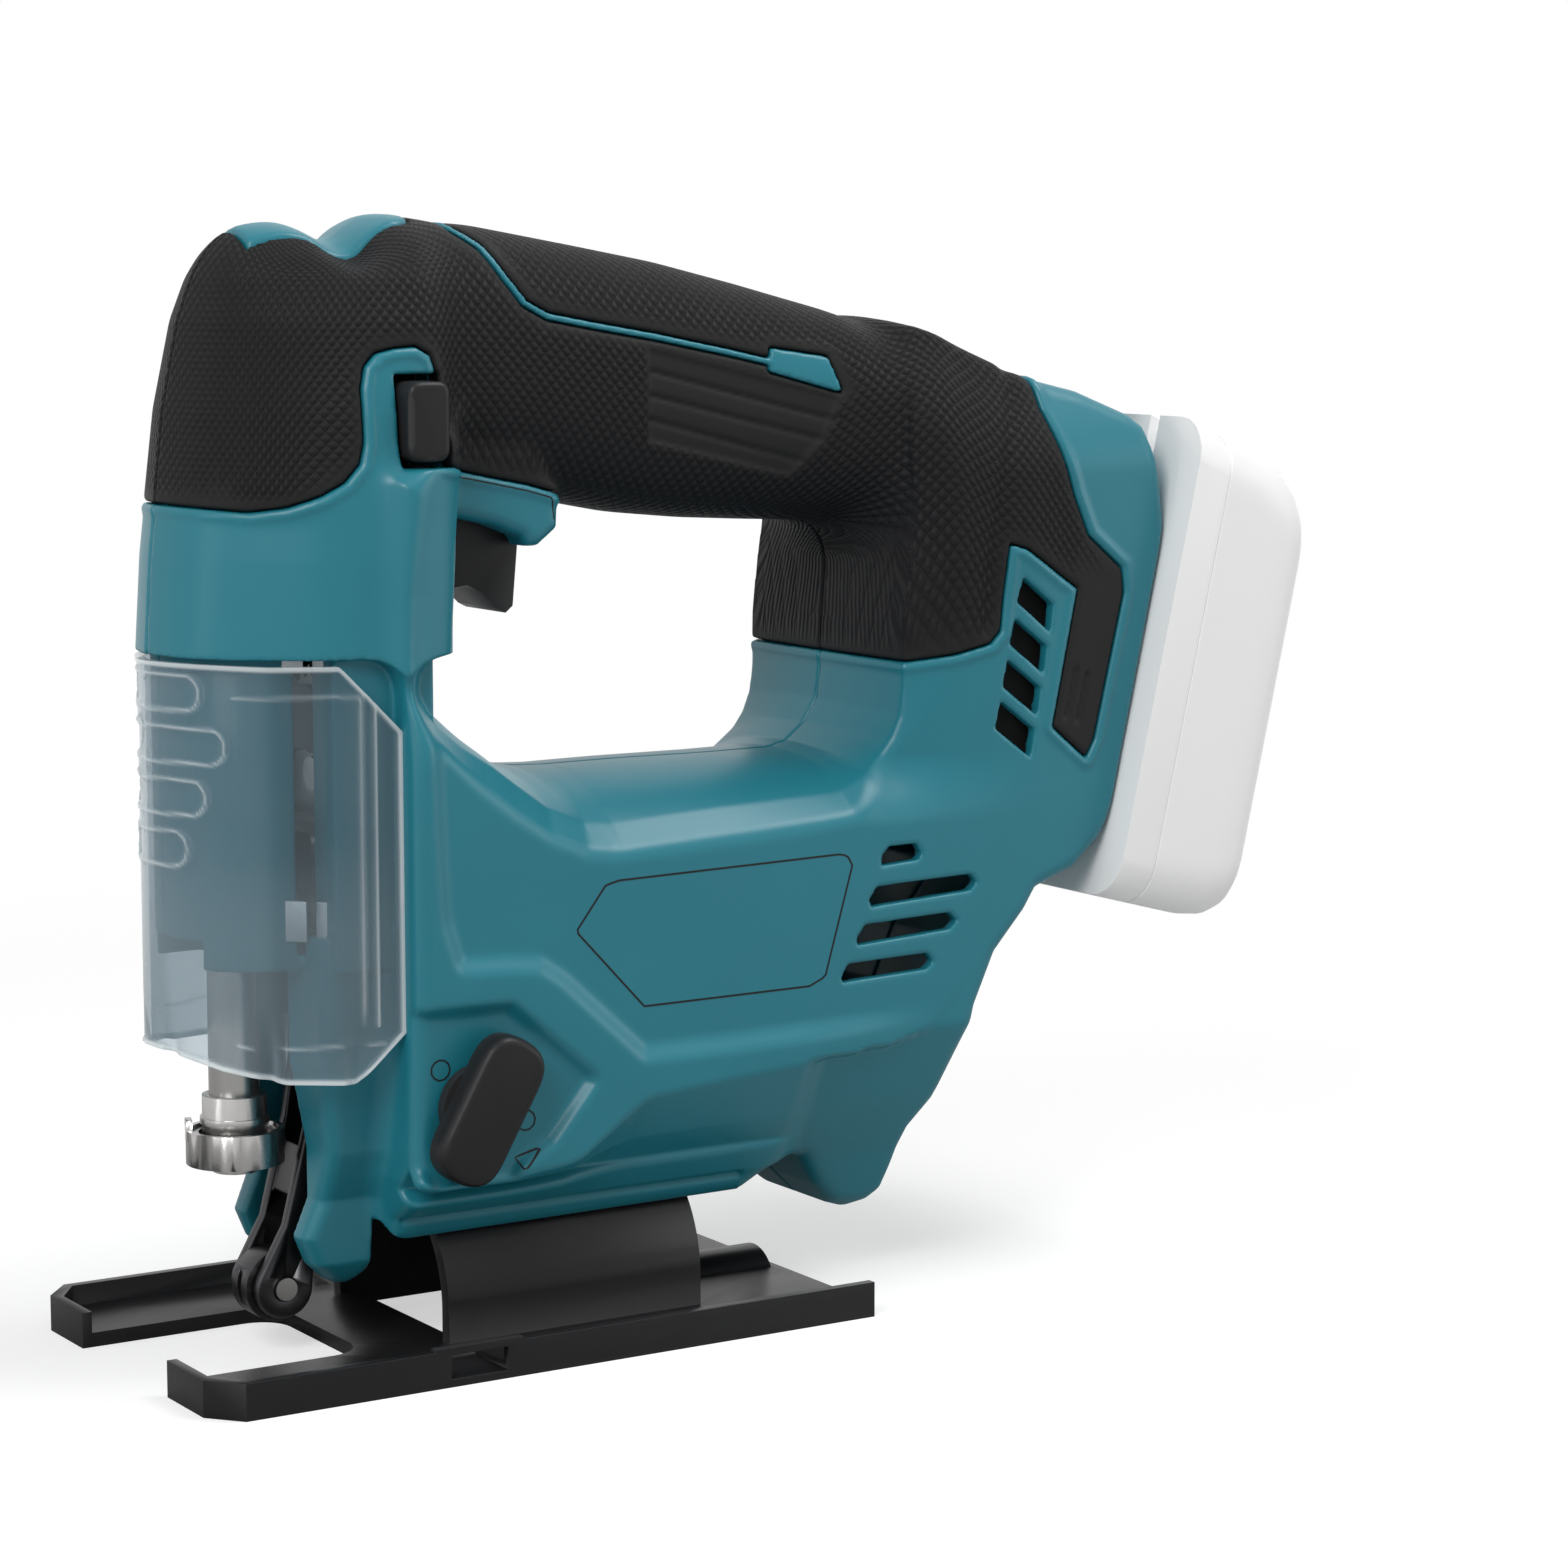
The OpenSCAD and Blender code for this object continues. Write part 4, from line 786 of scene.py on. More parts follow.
def near(points):
    """Distance from an open line in the side view."""
    x, z = X[:, 0, :], Z[0, :, :]
    best = np.full((len(xs), len(zs)), 1e9, np.float32)
    for (x0, z0), (x1, z1) in zip(points, points[1:]):
        dx, dz = x1 - x0, z1 - z0
        t = np.clip(((x - x0) * dx + (z - z0) * dz) / (dx * dx + dz * dz), 0, 1)
        best = np.minimum(best, (x - x0 - t * dx) ** 2 + (z - z0 - t * dz) ** 2)
    return np.sqrt(best)[:, None, :]


stripe_line = [(61.4, 199), (61.6, 194.3), (65, 191.3), (68, 186), (71, 181.8), (75.3, 179.5),
               (84.1, 177.9), (96.7, 175.8), (111.4, 172.9), (121, 170.8)]
stripe = near(stripe_line) - 0.65
tab = outline([(120.4, 173.2), (131.1, 171.6), (133, 165.9), (119.8, 169.6)]) - 0.4
rubber_edge = outline(rubber_line)
teal_islands = joined(stripe, tab)
region = shared(rubber_edge, -teal_islands)
print("rubber covers", round(float((region < 0).sum()) * STEP * STEP), "mm2 of the side view")

# %% The inlay's edge, seen from above
plan_half = np.where(X < 40, 6.8 + 0.17 * (X - 24), 9.6)
rear_end = np.hypot(np.maximum(X - 49, 0), np.maximum(A - 4.6, 0)) - 5
insert_edge = shared(A - plan_half, 23.5 - X, rear_end, 186 - Z)
print("inlay up to", round(float(plan_half.max()) * 2, 1), "mm wide")

# %% [markdown]
# ## Folds, vents and openings
#
# Folds in the rubber behind the palm and the dip in the crown are pressed in gently, as waves
# added to the field. Air for the motor leaves through four slots beside the fan and enters
# through four slanted vents at the rear, and both are cut right through the shell. Other cuts
# make room for what moves: the trigger, the plunger, the fork, the battery's rails, and the
# shoe, whose saddle and rim sweep past the keel when the saw is tilted.

# %% Folds, bead and dip
fold = np.exp(-((X - curve([(118, 158.6), (139, 160), (151, 162), (161, 165), (176, 170)], "z", 4)
                 ) / 1.5) ** 2) * ease((Z - 119) / 5) * ease((A - 18) / 8)
ridge = np.exp(-((X - curve([(118, 152), (150, 151), (158, 149), (176, 153)], "z", 6)
                  ) / 4.5) ** 2) * ease((Z - 122) / 14) * ease((A - 16) / 8)
shell = shell + 0.7 * fold - 0.9 * ridge
bead = np.exp(-((rubber_edge - 1.15) / 0.75) ** 2) * (rubber_edge > 0)
islands = ease(-teal_islands / 0.4)
shell = shell - 0.40 * bead - 0.25 * islands
dip = 4.6 * np.exp(-((X - 40.5) / 5.8) ** 2) * ease((Z - 180) / 6)
shell = shell + dip * ease((23 - A) / 13)
shell = trim(shell, Z - 197.2, 1.5)
print("folds pressed in")

# %% Vents and slots
vent_first = np.array([(166.1, 131.6), (172.9, 126.3), (172.3, 121.2), (165, 127.1)])
vent_last = np.array([(161.7, 109.1), (169, 103.4), (168.1, 98.3), (160.7, 104)])
slots = [[(135.2, 82.4), (136.7, 84.1), (142.6, 84.2), (143.8, 82.3), (143, 81.4), (135.2, 80.9)],
         [(132.6, 74.8), (134.2, 77), (154.6, 77.6), (156, 76.2), (154.6, 74.8), (133, 73.6)],
         [(129.8, 67.9), (131.7, 70.3), (150, 70.9), (151.6, 69.4), (150, 68), (130.2, 66.9)],
         [(126.6, 61.2), (128, 63.4), (145, 63.9), (146.4, 62.4), (145, 61.1), (126.9, 60.4)]]
holes = np.full(shell.shape, 1e3, np.float32)
for points in slots:
    holes = joined(holes, shared(outline(points) - 0.1, 20 - A))
for i in range(4):
    points = vent_first + (vent_last - vent_first) * i / 3
    holes = joined(holes, shared(outline(points), 18 - A))
print(len(slots), "slots and four vents")

# %% Room for what moves
KNOB_X, KNOB_Z = 52, 46.3
LOCK_X, LOCK_Z = 45.7, 162.5
TILT_Z = 8
SADDLE_ROOM = 23.2
RIM_SWEEP = (34, 38.9)
RIM_ANGLE = math.radians(44.3)


def box_cut(x0, x1, y0, y1, z0, z1):
    """A plain box as a field."""
    return shared(x0 - X, X - x1, y0 - A, A - y1, z0 - Z, Z - z1)


for_trigger = box_cut(54.4, 75.8, -9, 8, 137, 158)
for_fork = box_cut(20, 50, -9, 9.5, 0, 62)
for_plunger = shared(np.hypot(X - 17.4, A) - 10.5, Z - 75)
for_rails = shared(np.abs(up_the_rail - 27) - 27, A - 29, -20 - out_of_rear)
holes = joined(holes, for_trigger, for_fork, for_plunger, for_rails)
from_tilt = np.hypot(A, Z - TILT_Z)
cradle = shared(from_tilt - SADDLE_ROOM, 40 - X, X - 116)
shell = trim(shell, -cradle, 0.6)
rim_way = (Z - TILT_Z) * math.cos(RIM_ANGLE) - A * math.sin(RIM_ANGLE)
rim_way = shared(rim_way, from_tilt - RIM_SWEEP[1], RIM_SWEEP[0] - from_tilt, 37 - X)
shell = trim(shell, -rim_way, 1.2)
groove = shared(np.hypot(Z - 25.3, A - 21.6) - 0.75, 43 - X, X - 111)
shell = trim(shell, -groove, 0.6)
print("room cut for the moving parts")

# %% Holes of one side only
SCREWS = [(34, 138), (42, 178.8), (113.3, 166), (153.4, 100.4), (150.6, 149.6), (122.5, 44),
          (159.5, 84), (64, 47), (98, 47)]
left_hole = joined(box_cut(LOCK_X - 4.5, LOCK_X + 4.5, 8, 60, LOCK_Z - 7.8, LOCK_Z + 7.8),
                   shared(np.hypot(X - KNOB_X, Z - KNOB_Z) - 5.4, 20 - A))
right_hole = box_cut(LOCK_X - 3.4, LOCK_X + 3.4, 8, 60, LOCK_Z - 4.4, LOCK_Z + 4.4)
for x, z in SCREWS:
    right_hole = joined(right_hole, shared(np.hypot(X - x, Z - z) - 3.1, 14 - A))
print("lock and knob holes, and", len(SCREWS), "screw wells")

# %% [markdown]
# ## From field to mesh
#
# The surface is found cell by cell: each cell that the surface crosses gets one point, and
# neighbouring points are joined in squares. The points are then pulled exactly onto the surface
# along its slope, and the same slope gives smooth normals.

# %% Surface finder
CORNERS = np.array([(i, j, k) for i in (0, 1) for j in (0, 1) for k in (0, 1)])
EDGES = [(a, b) for a in range(8) for b in range(a + 1, 8)
         if np.abs(CORNERS[a] - CORNERS[b]).sum() == 1]


def net(field, corner):
    """Points and squares of the surface where the field is nought."""
    inside = field < 0
    size = np.array(field.shape) - 1
    filled = np.zeros(tuple(size), np.uint8)
    for i, j, k in CORNERS:
        filled += inside[i:i + size[0], j:j + size[1], k:k + size[2]]
    crossed = (filled > 0) & (filled < 8)
    at = np.stack(np.nonzero(crossed), 1)
    name = np.full(crossed.shape, -1, np.int32)
    name[crossed] = np.arange(len(at))
    value = [field[tuple((at + c).T)] for c in CORNERS]
    total, hits = np.zeros((len(at), 3)), np.zeros(len(at))
    for a, b in EDGES:
        cross = (value[a] < 0) != (value[b] < 0)
        t = value[a] / np.where(cross, value[a] - value[b], 1)
        total += (CORNERS[a] + t[:, None] * (CORNERS[b] - CORNERS[a])) * cross[:, None]
        hits += cross
    points = corner + STEP * (at + total / hits[:, None])
    squares = []
    for axis in range(3):
        order = (axis, (axis + 1) % 3, (axis + 2) % 3)
        m, s = np.transpose(name, order), np.transpose(inside, order)
        p, q, r = np.nonzero(s[:-1, 1:-1, 1:-1] != s[1:, 1:-1, 1:-1])
        loop = np.stack([m[p, q, r], m[p, q + 1, r], m[p, q + 1, r + 1], m[p, q, r + 1]], 1)
        back = ~s[p, q + 1, r + 1]
        loop[back] = loop[back][:, ::-1]
        squares.append(loop)
    return points, np.concatenate(squares)


print("surface finder ready")

# %% Reading a field at any point


def sample(field, points):
    """The field's value at any points, by straight-line blending between grid points."""
    g = np.clip((points - low_corner) / STEP, 0, np.array(field.shape) - 1.001)
    i = g.astype(int)
    f = g - i
    out = np.zeros(len(points))
    for c in CORNERS:
        weight = np.prod(np.where(c, f, 1 - f), axis=1)
        out += weight * field[tuple((i + c).T)]
    return out


def slope(field, points):
    """The way in which the field grows fastest at any points."""
    h = STEP * 0.6
    return np.stack([(sample(field, points + h * e) - sample(field, points - h * e)) / (2 * h)
                     for e in np.eye(3)], 1)


def settle(field, points, rounds=2):
    """Pulls points onto the surface."""
    for _ in range(rounds):
        g = slope(field, points)
        move = sample(field, points)[:, None] * g / np.maximum((g * g).sum(1), 0.1)[:, None]
        points = points - np.clip(move, -0.35 * STEP, 0.35 * STEP)
    return points


print("a point can be pulled onto the surface")

# %% From a surface to a piece


def thinned(obj, keep):
    """The object with only that share of its faces, most of them kept where it curves."""
    full = obj.data
    obj.modifiers.new("thin", "DECIMATE").ratio = keep
    graph = bpy.context.evaluated_depsgraph_get()
    obj.data = bpy.data.meshes.new_from_object(obj.evaluated_get(graph))
    obj.modifiers.clear()
    bpy.data.meshes.remove(full)


def carve(name, field, side, keep, slot, stands_for):
    """One half's surface as a piece, mirrored for the right side, riding on the housing."""
    field = field.astype(np.float32)
    points, squares = net(field, low_corner)
    obj = meshed(name, settle(field, points), squares.tolist())
    thinned(obj, keep)
    mesh = obj.data
    co = np.empty(len(mesh.vertices) * 3)
    mesh.vertices.foreach_get("co", co)
    co = co.reshape(-1, 3)
    way = slope(field, co)
    way /= np.maximum(np.linalg.norm(way, axis=1), 1e-6)[:, None]
    wrapped = wrap_of(co)
    sign = np.array([1, side, 1])
    mesh.vertices.foreach_set("co", placed(co * sign).ravel())
    if side < 0:
        mesh.flip_normals()
    mesh.shade_smooth()
    mesh.normals_split_custom_set_from_vertices((way * sign).tolist())
    layer = mesh.attributes.new("wrap", "FLOAT_VECTOR", "POINT")
    layer.data.foreach_set("vector", wrapped.ravel())
    finished(obj, "housing", slot, stands_for)


print("carving ready")

# %% The coordinate that the knurl follows
middle_line, breadth_line = centre[:, 0, 0], breadth[:, 0, 0]


def wrap_of(points):
    """Two lengths over the skin, and how strong the knurl is there."""
    x, a, z = points.T
    at = np.clip((x - low_corner[0]) / STEP, 0, len(xs) - 1).astype(int)
    mid, wide = middle_line[at], breadth_line[at]
    a = np.abs(a)
    round_grip = -wide * np.arctan2(a, z - mid)
    nose_part = ease((46 - x) / 16)
    tower_part = ease((142 - z) / 8) * (x > 138)
    u = x - np.maximum(24 - a, 0) * nose_part - np.maximum(22 - a, 0) * tower_part
    front = ease((62 - x) / 16)
    crown_part = ease((x - 22) / 10) * ease((z - 184) / 8)
    upright = z - mid - wide * math.pi / 2 + np.maximum(20 - a, 0) * crown_part
    v = round_grip * (1 - front) + upright * front
    flat = np.clip(-sample_flat(region, x, z) / 2.0 - 0.4, 0, 1)
    flat *= np.clip(sample_flat(panel, x, z), 0, 1) * np.clip(sample_flat(pad, x, z), 0, 1)
    return np.stack([u, v, flat], 1)


def sample_flat(field, x, z):
    """A side-view map at points."""
    i = np.clip(((x - low_corner[0]) / STEP).astype(int), 0, len(xs) - 1)
    k = np.clip(((z - low_corner[2]) / STEP).astype(int), 0, len(zs) - 1)
    return field[i, 0, k]


panel = outline([(94.6, 174.2), (95.2, 157.4), (124, 150.6), (129.7, 157), (133, 164.9)])
pad = outline([(179.2, 136), (181, 138.6), (188.6, 132.4), (189.1, 127.9), (182.5, 100.7),
               (180.6, 97.4), (172.9, 103.7), (173.9, 108.1), (178.4, 129)])
print("wrap ready")

# %% What the skin and the inlay take out of the shell
SKIN = 2.2
WALL = 2.6
seam = 0.06 - A
sunk = shared(-(shell + SKIN), region - 0.12)
inlay_room = shared(-(shell + 6), insert_edge - 0.1)
panel_step = 0.45 * ease(-panel / 0.8)
panel_lines = [[(95.6, 169.8), (132.1, 160.6)], [(95.4, 165.6), (129.7, 157.2)],
               [(95.3, 161.4), (126.5, 153.3)]]
pad_lines = [[(178.6, 104.5), (180.6, 113)], [(175.9, 105.4), (178, 114)]]
lines = joined(*map(near, panel_lines + pad_lines))
skin = shell - 0.12 + panel_step + 0.6 * np.exp(-(lines / 0.45) ** 2)
skin = trim(skin, region + 0.14, 0.9)
skin = shared(skin, -(shell + SKIN - 0.1))
skin = trim(skin, -(insert_edge - 0.1), 0.6)
inlay = trim(shared(shell - 0.3, -(shell + 5.6)), insert_edge + 0.15, 0.9)
print("skin", SKIN, "mm and wall", WALL, "mm thick")

# %% Shells and skins of both sides
for side, label, hole in ((-1, "left", left_hole), (1, "right", right_hole)):
    cuts = joined(holes, hole)
    whole = shared(trim(shell, -sunk, 0.3), -inlay_room)
    hollow = -(shell + WALL + SKIN * (region < 1))
    whole = shared(trim(whole, -cuts, 0.5), hollow)
    whole = trim(whole, seam, 0.35)
    carve(label + "_shell", whole, side, 0.35, "teal_plastic", label + "_housing")
    skinned = trim(trim(skin, -cuts, 0.8), seam, 0.5)
    carve(label + "_skin", skinned, side, 0.5, "grip_rubber", label + "_grip")

# %% The inlay, in one piece over the seam
both = np.concatenate([inlay[:, :PAST_SEAM:-1], inlay[:, PAST_SEAM:]], 1)
out_to = (inlay.shape[1] - PAST_SEAM - 1) * STEP
points, squares = net(both, low_corner * (1, 0, 1) - (0, out_to, 0))
inlay_piece = meshed("top_inlay", placed(points), squares.tolist())
inlay_piece.data.shade_smooth()
finished(inlay_piece, "housing", "teal_plastic", "top_insert")

# %% [markdown]
# ## Fine lines
#
# A mould engraves fine lines round the name plate's place, which stays bare, and round the guard.
# A line thinner than the grid is laid in as its own narrow strip, sunk into the surface; the strip
# is black, a painted shade that stands for the dark inside the engraved groove.

# %% Laying a strip


def onto(field, x, z, start):
    """How far out the surface lies at a place in the side view."""
    a = np.full(len(x), float(start))
    for _ in range(12):
        p = np.stack([x, a, z], 1)
        value = sample(field, p)
        rate = (sample(field, p + (0, 0.4, 0)) - sample(field, p - (0, 0.4, 0))) / 0.8
        a = a - np.clip(value / np.where(np.abs(rate) < 0.2, 0.2, rate), -1, 1)
    return a


def strip(name, points, side, start, width=0.34, closed=True):
    """A narrow sunk strip along a line in the side view; its black is a painted shade for a groove.
    """
    p = np.array(list(points) + ([points[0]] if closed else []), float)
    away = np.r_[0, np.cumsum(np.linalg.norm(np.diff(p, axis=0), axis=1))]
    at = np.linspace(0, away[-1], max(4, int(away[-1] / 1.0)) + 1)[:-1 if closed else None]
    line = np.stack([np.interp(at, away, p[:, i]) for i in (0, 1)], 1)
    ahead = np.roll(line, -1, 0) - np.roll(line, 1, 0) if closed else np.gradient(line, axis=0)
    across = np.stack([-ahead[:, 1], ahead[:, 0]], 1)
    across /= np.linalg.norm(across, axis=1)[:, None]
    rows = []
    for offset, lift in ((-1, 0.05), (1, 0.05), (1, -0.4), (-1, -0.4)):
        q = line + across * offset * width / 2
        rows.append(np.stack([q[:, 0], (onto(shell, q[:, 0], q[:, 1], start) + lift) * side,
                              q[:, 1]], 1))
    n = len(line)
    base = np.arange(n) * 4
    ahead_of = np.roll(base, -1) if closed else base[1:]
    here = base if closed else base[:-1]
    faces = [np.stack([here + i, here + (i + 1) % 4, ahead_of + (i + 1) % 4, ahead_of + i], 1)
             for i in range(4)]
    faces = np.concatenate(faces).tolist()
    if not closed:
        faces += [[0, 1, 2, 3], [4 * n - 1, 4 * n - 2, 4 * n - 3, 4 * n - 4]]
    obj = meshed(name, placed(np.stack(rows, 1).reshape(-1, 3)), faces)
    # Black plastic: painted shade standing for the dark inside the groove.
    finished(obj, "housing", "black_plastic")


print("strips can be laid")

# %% The lines


def ring_of(x, z, r, n=20):
    """A circle in the side view."""
    return [(x + r * math.cos(i * 2 * math.pi / n), z + r * math.sin(i * 2 * math.pi / n))
            for i in range(n)]


plate_line = [(80.4, 82.8), (77.6, 82.2), (71.7, 74.6), (85.2, 60.2), (119.4, 60.4), (122.8, 61.8),
              (128.6, 81.6), (127.4, 83.4), (125.8, 83.7)]
for side, label in ((-1, "left"), (1, "right")):
    strip(label + "_plate_line", plate_line, side, 32)
strip("guard_line", [(50.5, 153.2), (57, 152.6), (65, 151), (71.6, 149.6), (76.6, 148.2),
                     (77.2, 144.4)], -1, 15.5, 0.26, False)
strip("knob_dot_a", ring_of(45.4, 53.1, 1.8), -1, 31.5, 0.3)
strip("knob_dot_b", ring_of(61.8, 42.6, 1.8), -1, 31.5, 0.3)
strip("knob_pointer", [(59.6, 36.4), (64.2, 37.8), (60.5, 34.2)], -1, 31.5, 0.3)
print("fine lines laid")

# %% [markdown]
# ## Dark sheet behind the vents
#
# Behind the slanted vents sits a dark sheet: a painted shade that stands for the dark inside the
# housing.

# %% Painted shade behind the vents
VENT_SHADE = [(157.5, 99), (170, 94.5), (176, 127), (163.5, 135)]
VENT_SHADE_Y = (25.4, 26.4)
# The sheet takes the near-black rubber finish, as painted shade.
for side, label in ((-1, "left"), (1, "right")):
    points = [(x, side * y, z) for y in VENT_SHADE_Y for x, z in VENT_SHADE]
    vent_shade = meshed(label + "_vent_shade", placed(points), [(3, 2, 1, 0), (4, 5, 6, 7), (0, 1, 5, 4),
                                                    (1, 2, 6, 5), (2, 3, 7, 6), (3, 0, 4, 7)])
    finished(vent_shade, "housing", "grip_rubber")

# %% [markdown]
# ## The clear chip cover
#
# The cover is one thin clear moulding that clips round the column under the head. It continues
# the plan of the head, so its own plan is drawn from the same numbers. It has a thicker rim that
# catches the light, four pressed finger slots at the front on each side, a rail down each side
# where it clips on, and short fins at the foot. All of that is displacement: the wall is a fine
# sheet of points, and each point is pushed out or in by what lies there.

# %% Plan of the cover
COVER_T = 1.5
prow = np.linspace(0, 1, 60) ** 1.5 * 34.9
prow_half = np.minimum(0.823 * 28.6 * (prow / 12.3) ** 0.65, 28.5 - 0.40 * (24.5 - prow))
prow_half = np.minimum(prow_half, 28.5)
half_plan = np.stack([5.5 + prow, prow_half], 1)


def even_steps(points, step):
    """Points at even distances along a line, after its corners are eased."""
    for _ in range(3):
        points[1:-1] = (points[:-2] + 2 * points[1:-1] + points[2:]) / 4
    away = np.r_[0, np.cumsum(np.linalg.norm(np.diff(points, axis=0), axis=1))]
    n = max(8, int(away[-1] / step))
    at = np.linspace(0, away[-1], n + 1)
    return np.stack([np.interp(at, away, points[:, i]) for i in range(points.shape[1])], 1), at


FINE = 0.55
plan, along = even_steps(np.concatenate([half_plan[:0:-1] * (1, -1), half_plan]), FINE)
middle_s = along[-1] / 2
ahead = np.gradient(plan, axis=0)
outward = np.stack([-ahead[:, 1], ahead[:, 0]], 1)
outward /= np.linalg.norm(outward, axis=1)[:, None]
outward *= np.sign((outward * (plan - (26, 0))).sum(1))[:, None]
foot_z = np.interp(plan[:, 0], [5.5, 12.2, 20, 31.4, 40.4], [56.6, 53.9, 52.2, 51.6, 59.6])
head_z = np.interp(plan[:, 0], [0, 29, 40.4], [122.5, 122.3, 110.9])
levels = np.linspace(0, 1, int(72 / FINE))
S = np.abs(along - middle_s)[:, None] + 0 * levels
height = foot_z[:, None] + (head_z - foot_z)[:, None] * levels


def bump_at(distance, width):
    """A round rib, highest where the distance is nought."""
    return np.exp(-(distance / width) ** 2)


def capsule(s0, s1, z0, z1):
    """Distance to a slot with a round end at s1."""
    r = (z1 - z0) / 2
    ds = np.maximum(np.abs(S - (s0 + s1 - r) / 2) - (s1 - r - s0) / 2, 0)
    return np.hypot(ds, np.abs(height - (z0 + z1) / 2)) - r


push = np.zeros_like(height)
edge_gap = joined(height - foot_z[:, None], head_z[:, None] - height, middle_s - S)
push += 0.35 * ease((1.1 - edge_gap) / 0.4)
for z, end in ((117.4, 13.5), (108.6, 18.5), (99.8, 14.5), (91, 10.5)):
    slot_gap = capsule(1.5, end, z - 2.9, z + 2.9)
    push += 0.36 * bump_at(slot_gap, 0.42) - 0.25 * ease(-slot_gap / 0.8)
rail_s = middle_s - 7.5
for offset in (0, 2.6):
    push += 0.38 * bump_at(S - rail_s - offset, 0.35) * (height > 61) * (height < 117)
push += 0.3 * bump_at(height - 117.2, 0.35) * (S > 20) * (S < rail_s + 4)
push += 0.3 * bump_at(height - 58.2, 0.35) * (S > 20) * (S < rail_s + 4)
for s in (6, 26, 41):
    push -= 1.3 * bump_at(S - s, 1.6) * ease((66 - height) / 12)
push = np.clip(push, -1.4, 0.55)
print("cover of", push.shape, "points")

# %% Wall of the cover


def wall(name, grid_out, grid_in):
    """A closed thin shell between two equal grids of points."""
    n, m = grid_out.shape[:2]
    points = np.concatenate([grid_out.reshape(-1, 3), grid_in.reshape(-1, 3)])
    index = np.arange(n * m).reshape(n, m)
    quad = np.stack([index[:-1, :-1], index[1:, :-1], index[1:, 1:], index[:-1, 1:]], -1)
    quad = quad.reshape(-1, 4)
    ring = np.concatenate([index[:, 0], index[-1, 1:], index[-2::-1, -1], index[0, -2:0:-1]])
    rim = np.stack([ring, np.roll(ring, -1), np.roll(ring, -1) + n * m, ring + n * m], 1)
    faces = np.concatenate([quad, quad[:, ::-1] + n * m, rim[:, ::-1]])
    return faced(meshed(name, placed(points), faces.tolist()), 50)


def raised(amount):
    """The wall's points, each pushed out by its amount."""
    flat = plan[:, None] + outward[:, None] * amount[..., None]
    return np.concatenate([flat, height[..., None]], -1)


# These lines mark the rims, ribs and slot edges that carry the painted highlight of the clear
# plastic.
lines = np.clip(0.8 * ease((1.0 - edge_gap) / 0.4) + (push - 0.08) * 2.8 * (push > 0.08), 0, 1)
haze_map = 0.35 + 0.65 * ease((96 - height) / 20)
inner_push = np.minimum(push * 0.4, 0.0) - COVER_T - 0.3
cover = wall("clear_cover", raised(push - 0.55), raised(inner_push))
marks = np.stack([lines, haze_map, lines * 0], -1).reshape(-1, 3)
layer = cover.data.attributes.new("rim", "FLOAT_VECTOR", "POINT")
layer.data.foreach_set("vector", np.concatenate([marks, marks * (0.4, 1, 1)]).ravel())
finished(cover, "dust_cover", "clear_plastic", "dust_cover")

# %% [markdown]
# ## Rounded solids from rings
#
# The knob, the lock button and the back of the pack are blocks with rolled edges. Each is a
# stack of equal rings, one behind the other, that shrink towards the ends. A ring is an outline
# whose corners were eased, so the rolled edge runs evenly all round.

# %% Rings


def eased(points, radius, step=0.8):
    """A closed outline with round corners, as evenly spaced points."""
    out = []
    p = np.asarray(points, float)
    for before, here, after in zip(np.roll(p, 1, 0), p, np.roll(p, -1, 0)):
        a, b = before - here, after - here
        reach = min(radius, 0.49 * np.linalg.norm(a), 0.49 * np.linalg.norm(b))
        start, end = here + a / np.linalg.norm(a) * reach, here + b / np.linalg.norm(b) * reach
        for t in np.linspace(0, 1, 7):
            out.append((1 - t) ** 2 * start + 2 * t * (1 - t) * here + t * t * end)
    out = np.array(out + [out[0]])
    away = np.r_[0, np.cumsum(np.linalg.norm(np.diff(out, axis=0), axis=1))]
    n = max(24, int(away[-1] / step))
    at = np.linspace(0, away[-1], n, endpoint=False)
    return np.stack([np.interp(at, away, out[:, i]) for i in (0, 1)], 1)


def shrink(outline_points, amount):
    """The outline moved inward by that much along its own normals."""
    way = np.roll(outline_points, -1, 0) - np.roll(outline_points, 1, 0)
    normal = np.stack([-way[:, 1], way[:, 0]], 1)
    normal /= np.maximum(np.linalg.norm(normal, axis=1), 1e-6)[:, None]
    area = np.sum(outline_points[:, 0] * np.roll(outline_points[:, 1], -1)
                  - outline_points[:, 1] * np.roll(outline_points[:, 0], -1))
    return outline_points + normal * amount * (1 if area > 0 else -1)


print("outlines can be eased and shrunk")

# %% Stacks of rings


def stack(name, rings, sharp=40, convert=placed):
    """A closed mesh through equal rings of points."""
    n = len(rings[0])
    points = np.concatenate(rings)
    faces = []
    for level in range(len(rings) - 1):
        base = level * n
        faces += [(base + i, base + (i + 1) % n, base + n + (i + 1) % n, base + n + i)
                  for i in range(n)]
    faces += [tuple(range(n))[::-1], tuple(range(len(points) - n, len(points)))]
    return faced(meshed(name, convert(points), faces), sharp)


def sideways(rows):
    """Rings whose depth runs along Y."""
    return [np.stack([ring[:, 0], np.full(len(ring), y), ring[:, 1]], 1) for ring, y in rows]


print("ring stack ready")

# %% [markdown]
# ## Knob and lock button
#
# The orbital knob is an oblong finger grip on a round hub, and turns between its marks. The lock
# button is a pill with a rolled edge, on a square bolt that is pushed through the handle.

# %% Knob
KNOB_LEAN = math.radians(-30)
HUB_R = 7.5


def tilted(points):
    """Turned by the knob's lean and set on its axis."""
    c, s = math.cos(KNOB_LEAN), math.sin(KNOB_LEAN)
    x, z = np.asarray(points).T
    return np.stack([KNOB_X + x * c - z * s, KNOB_Z + x * s + z * c], 1)


def rolled_end(ring, depth, edge):
    """Rings that roll an outline's edge over at its outer end, out from that depth."""
    return [(shrink(ring, edge[0] * (1 - math.cos(t))), depth - edge[1] * math.sin(t))
            for t in np.linspace(0, math.pi / 2, 6)[1:]]


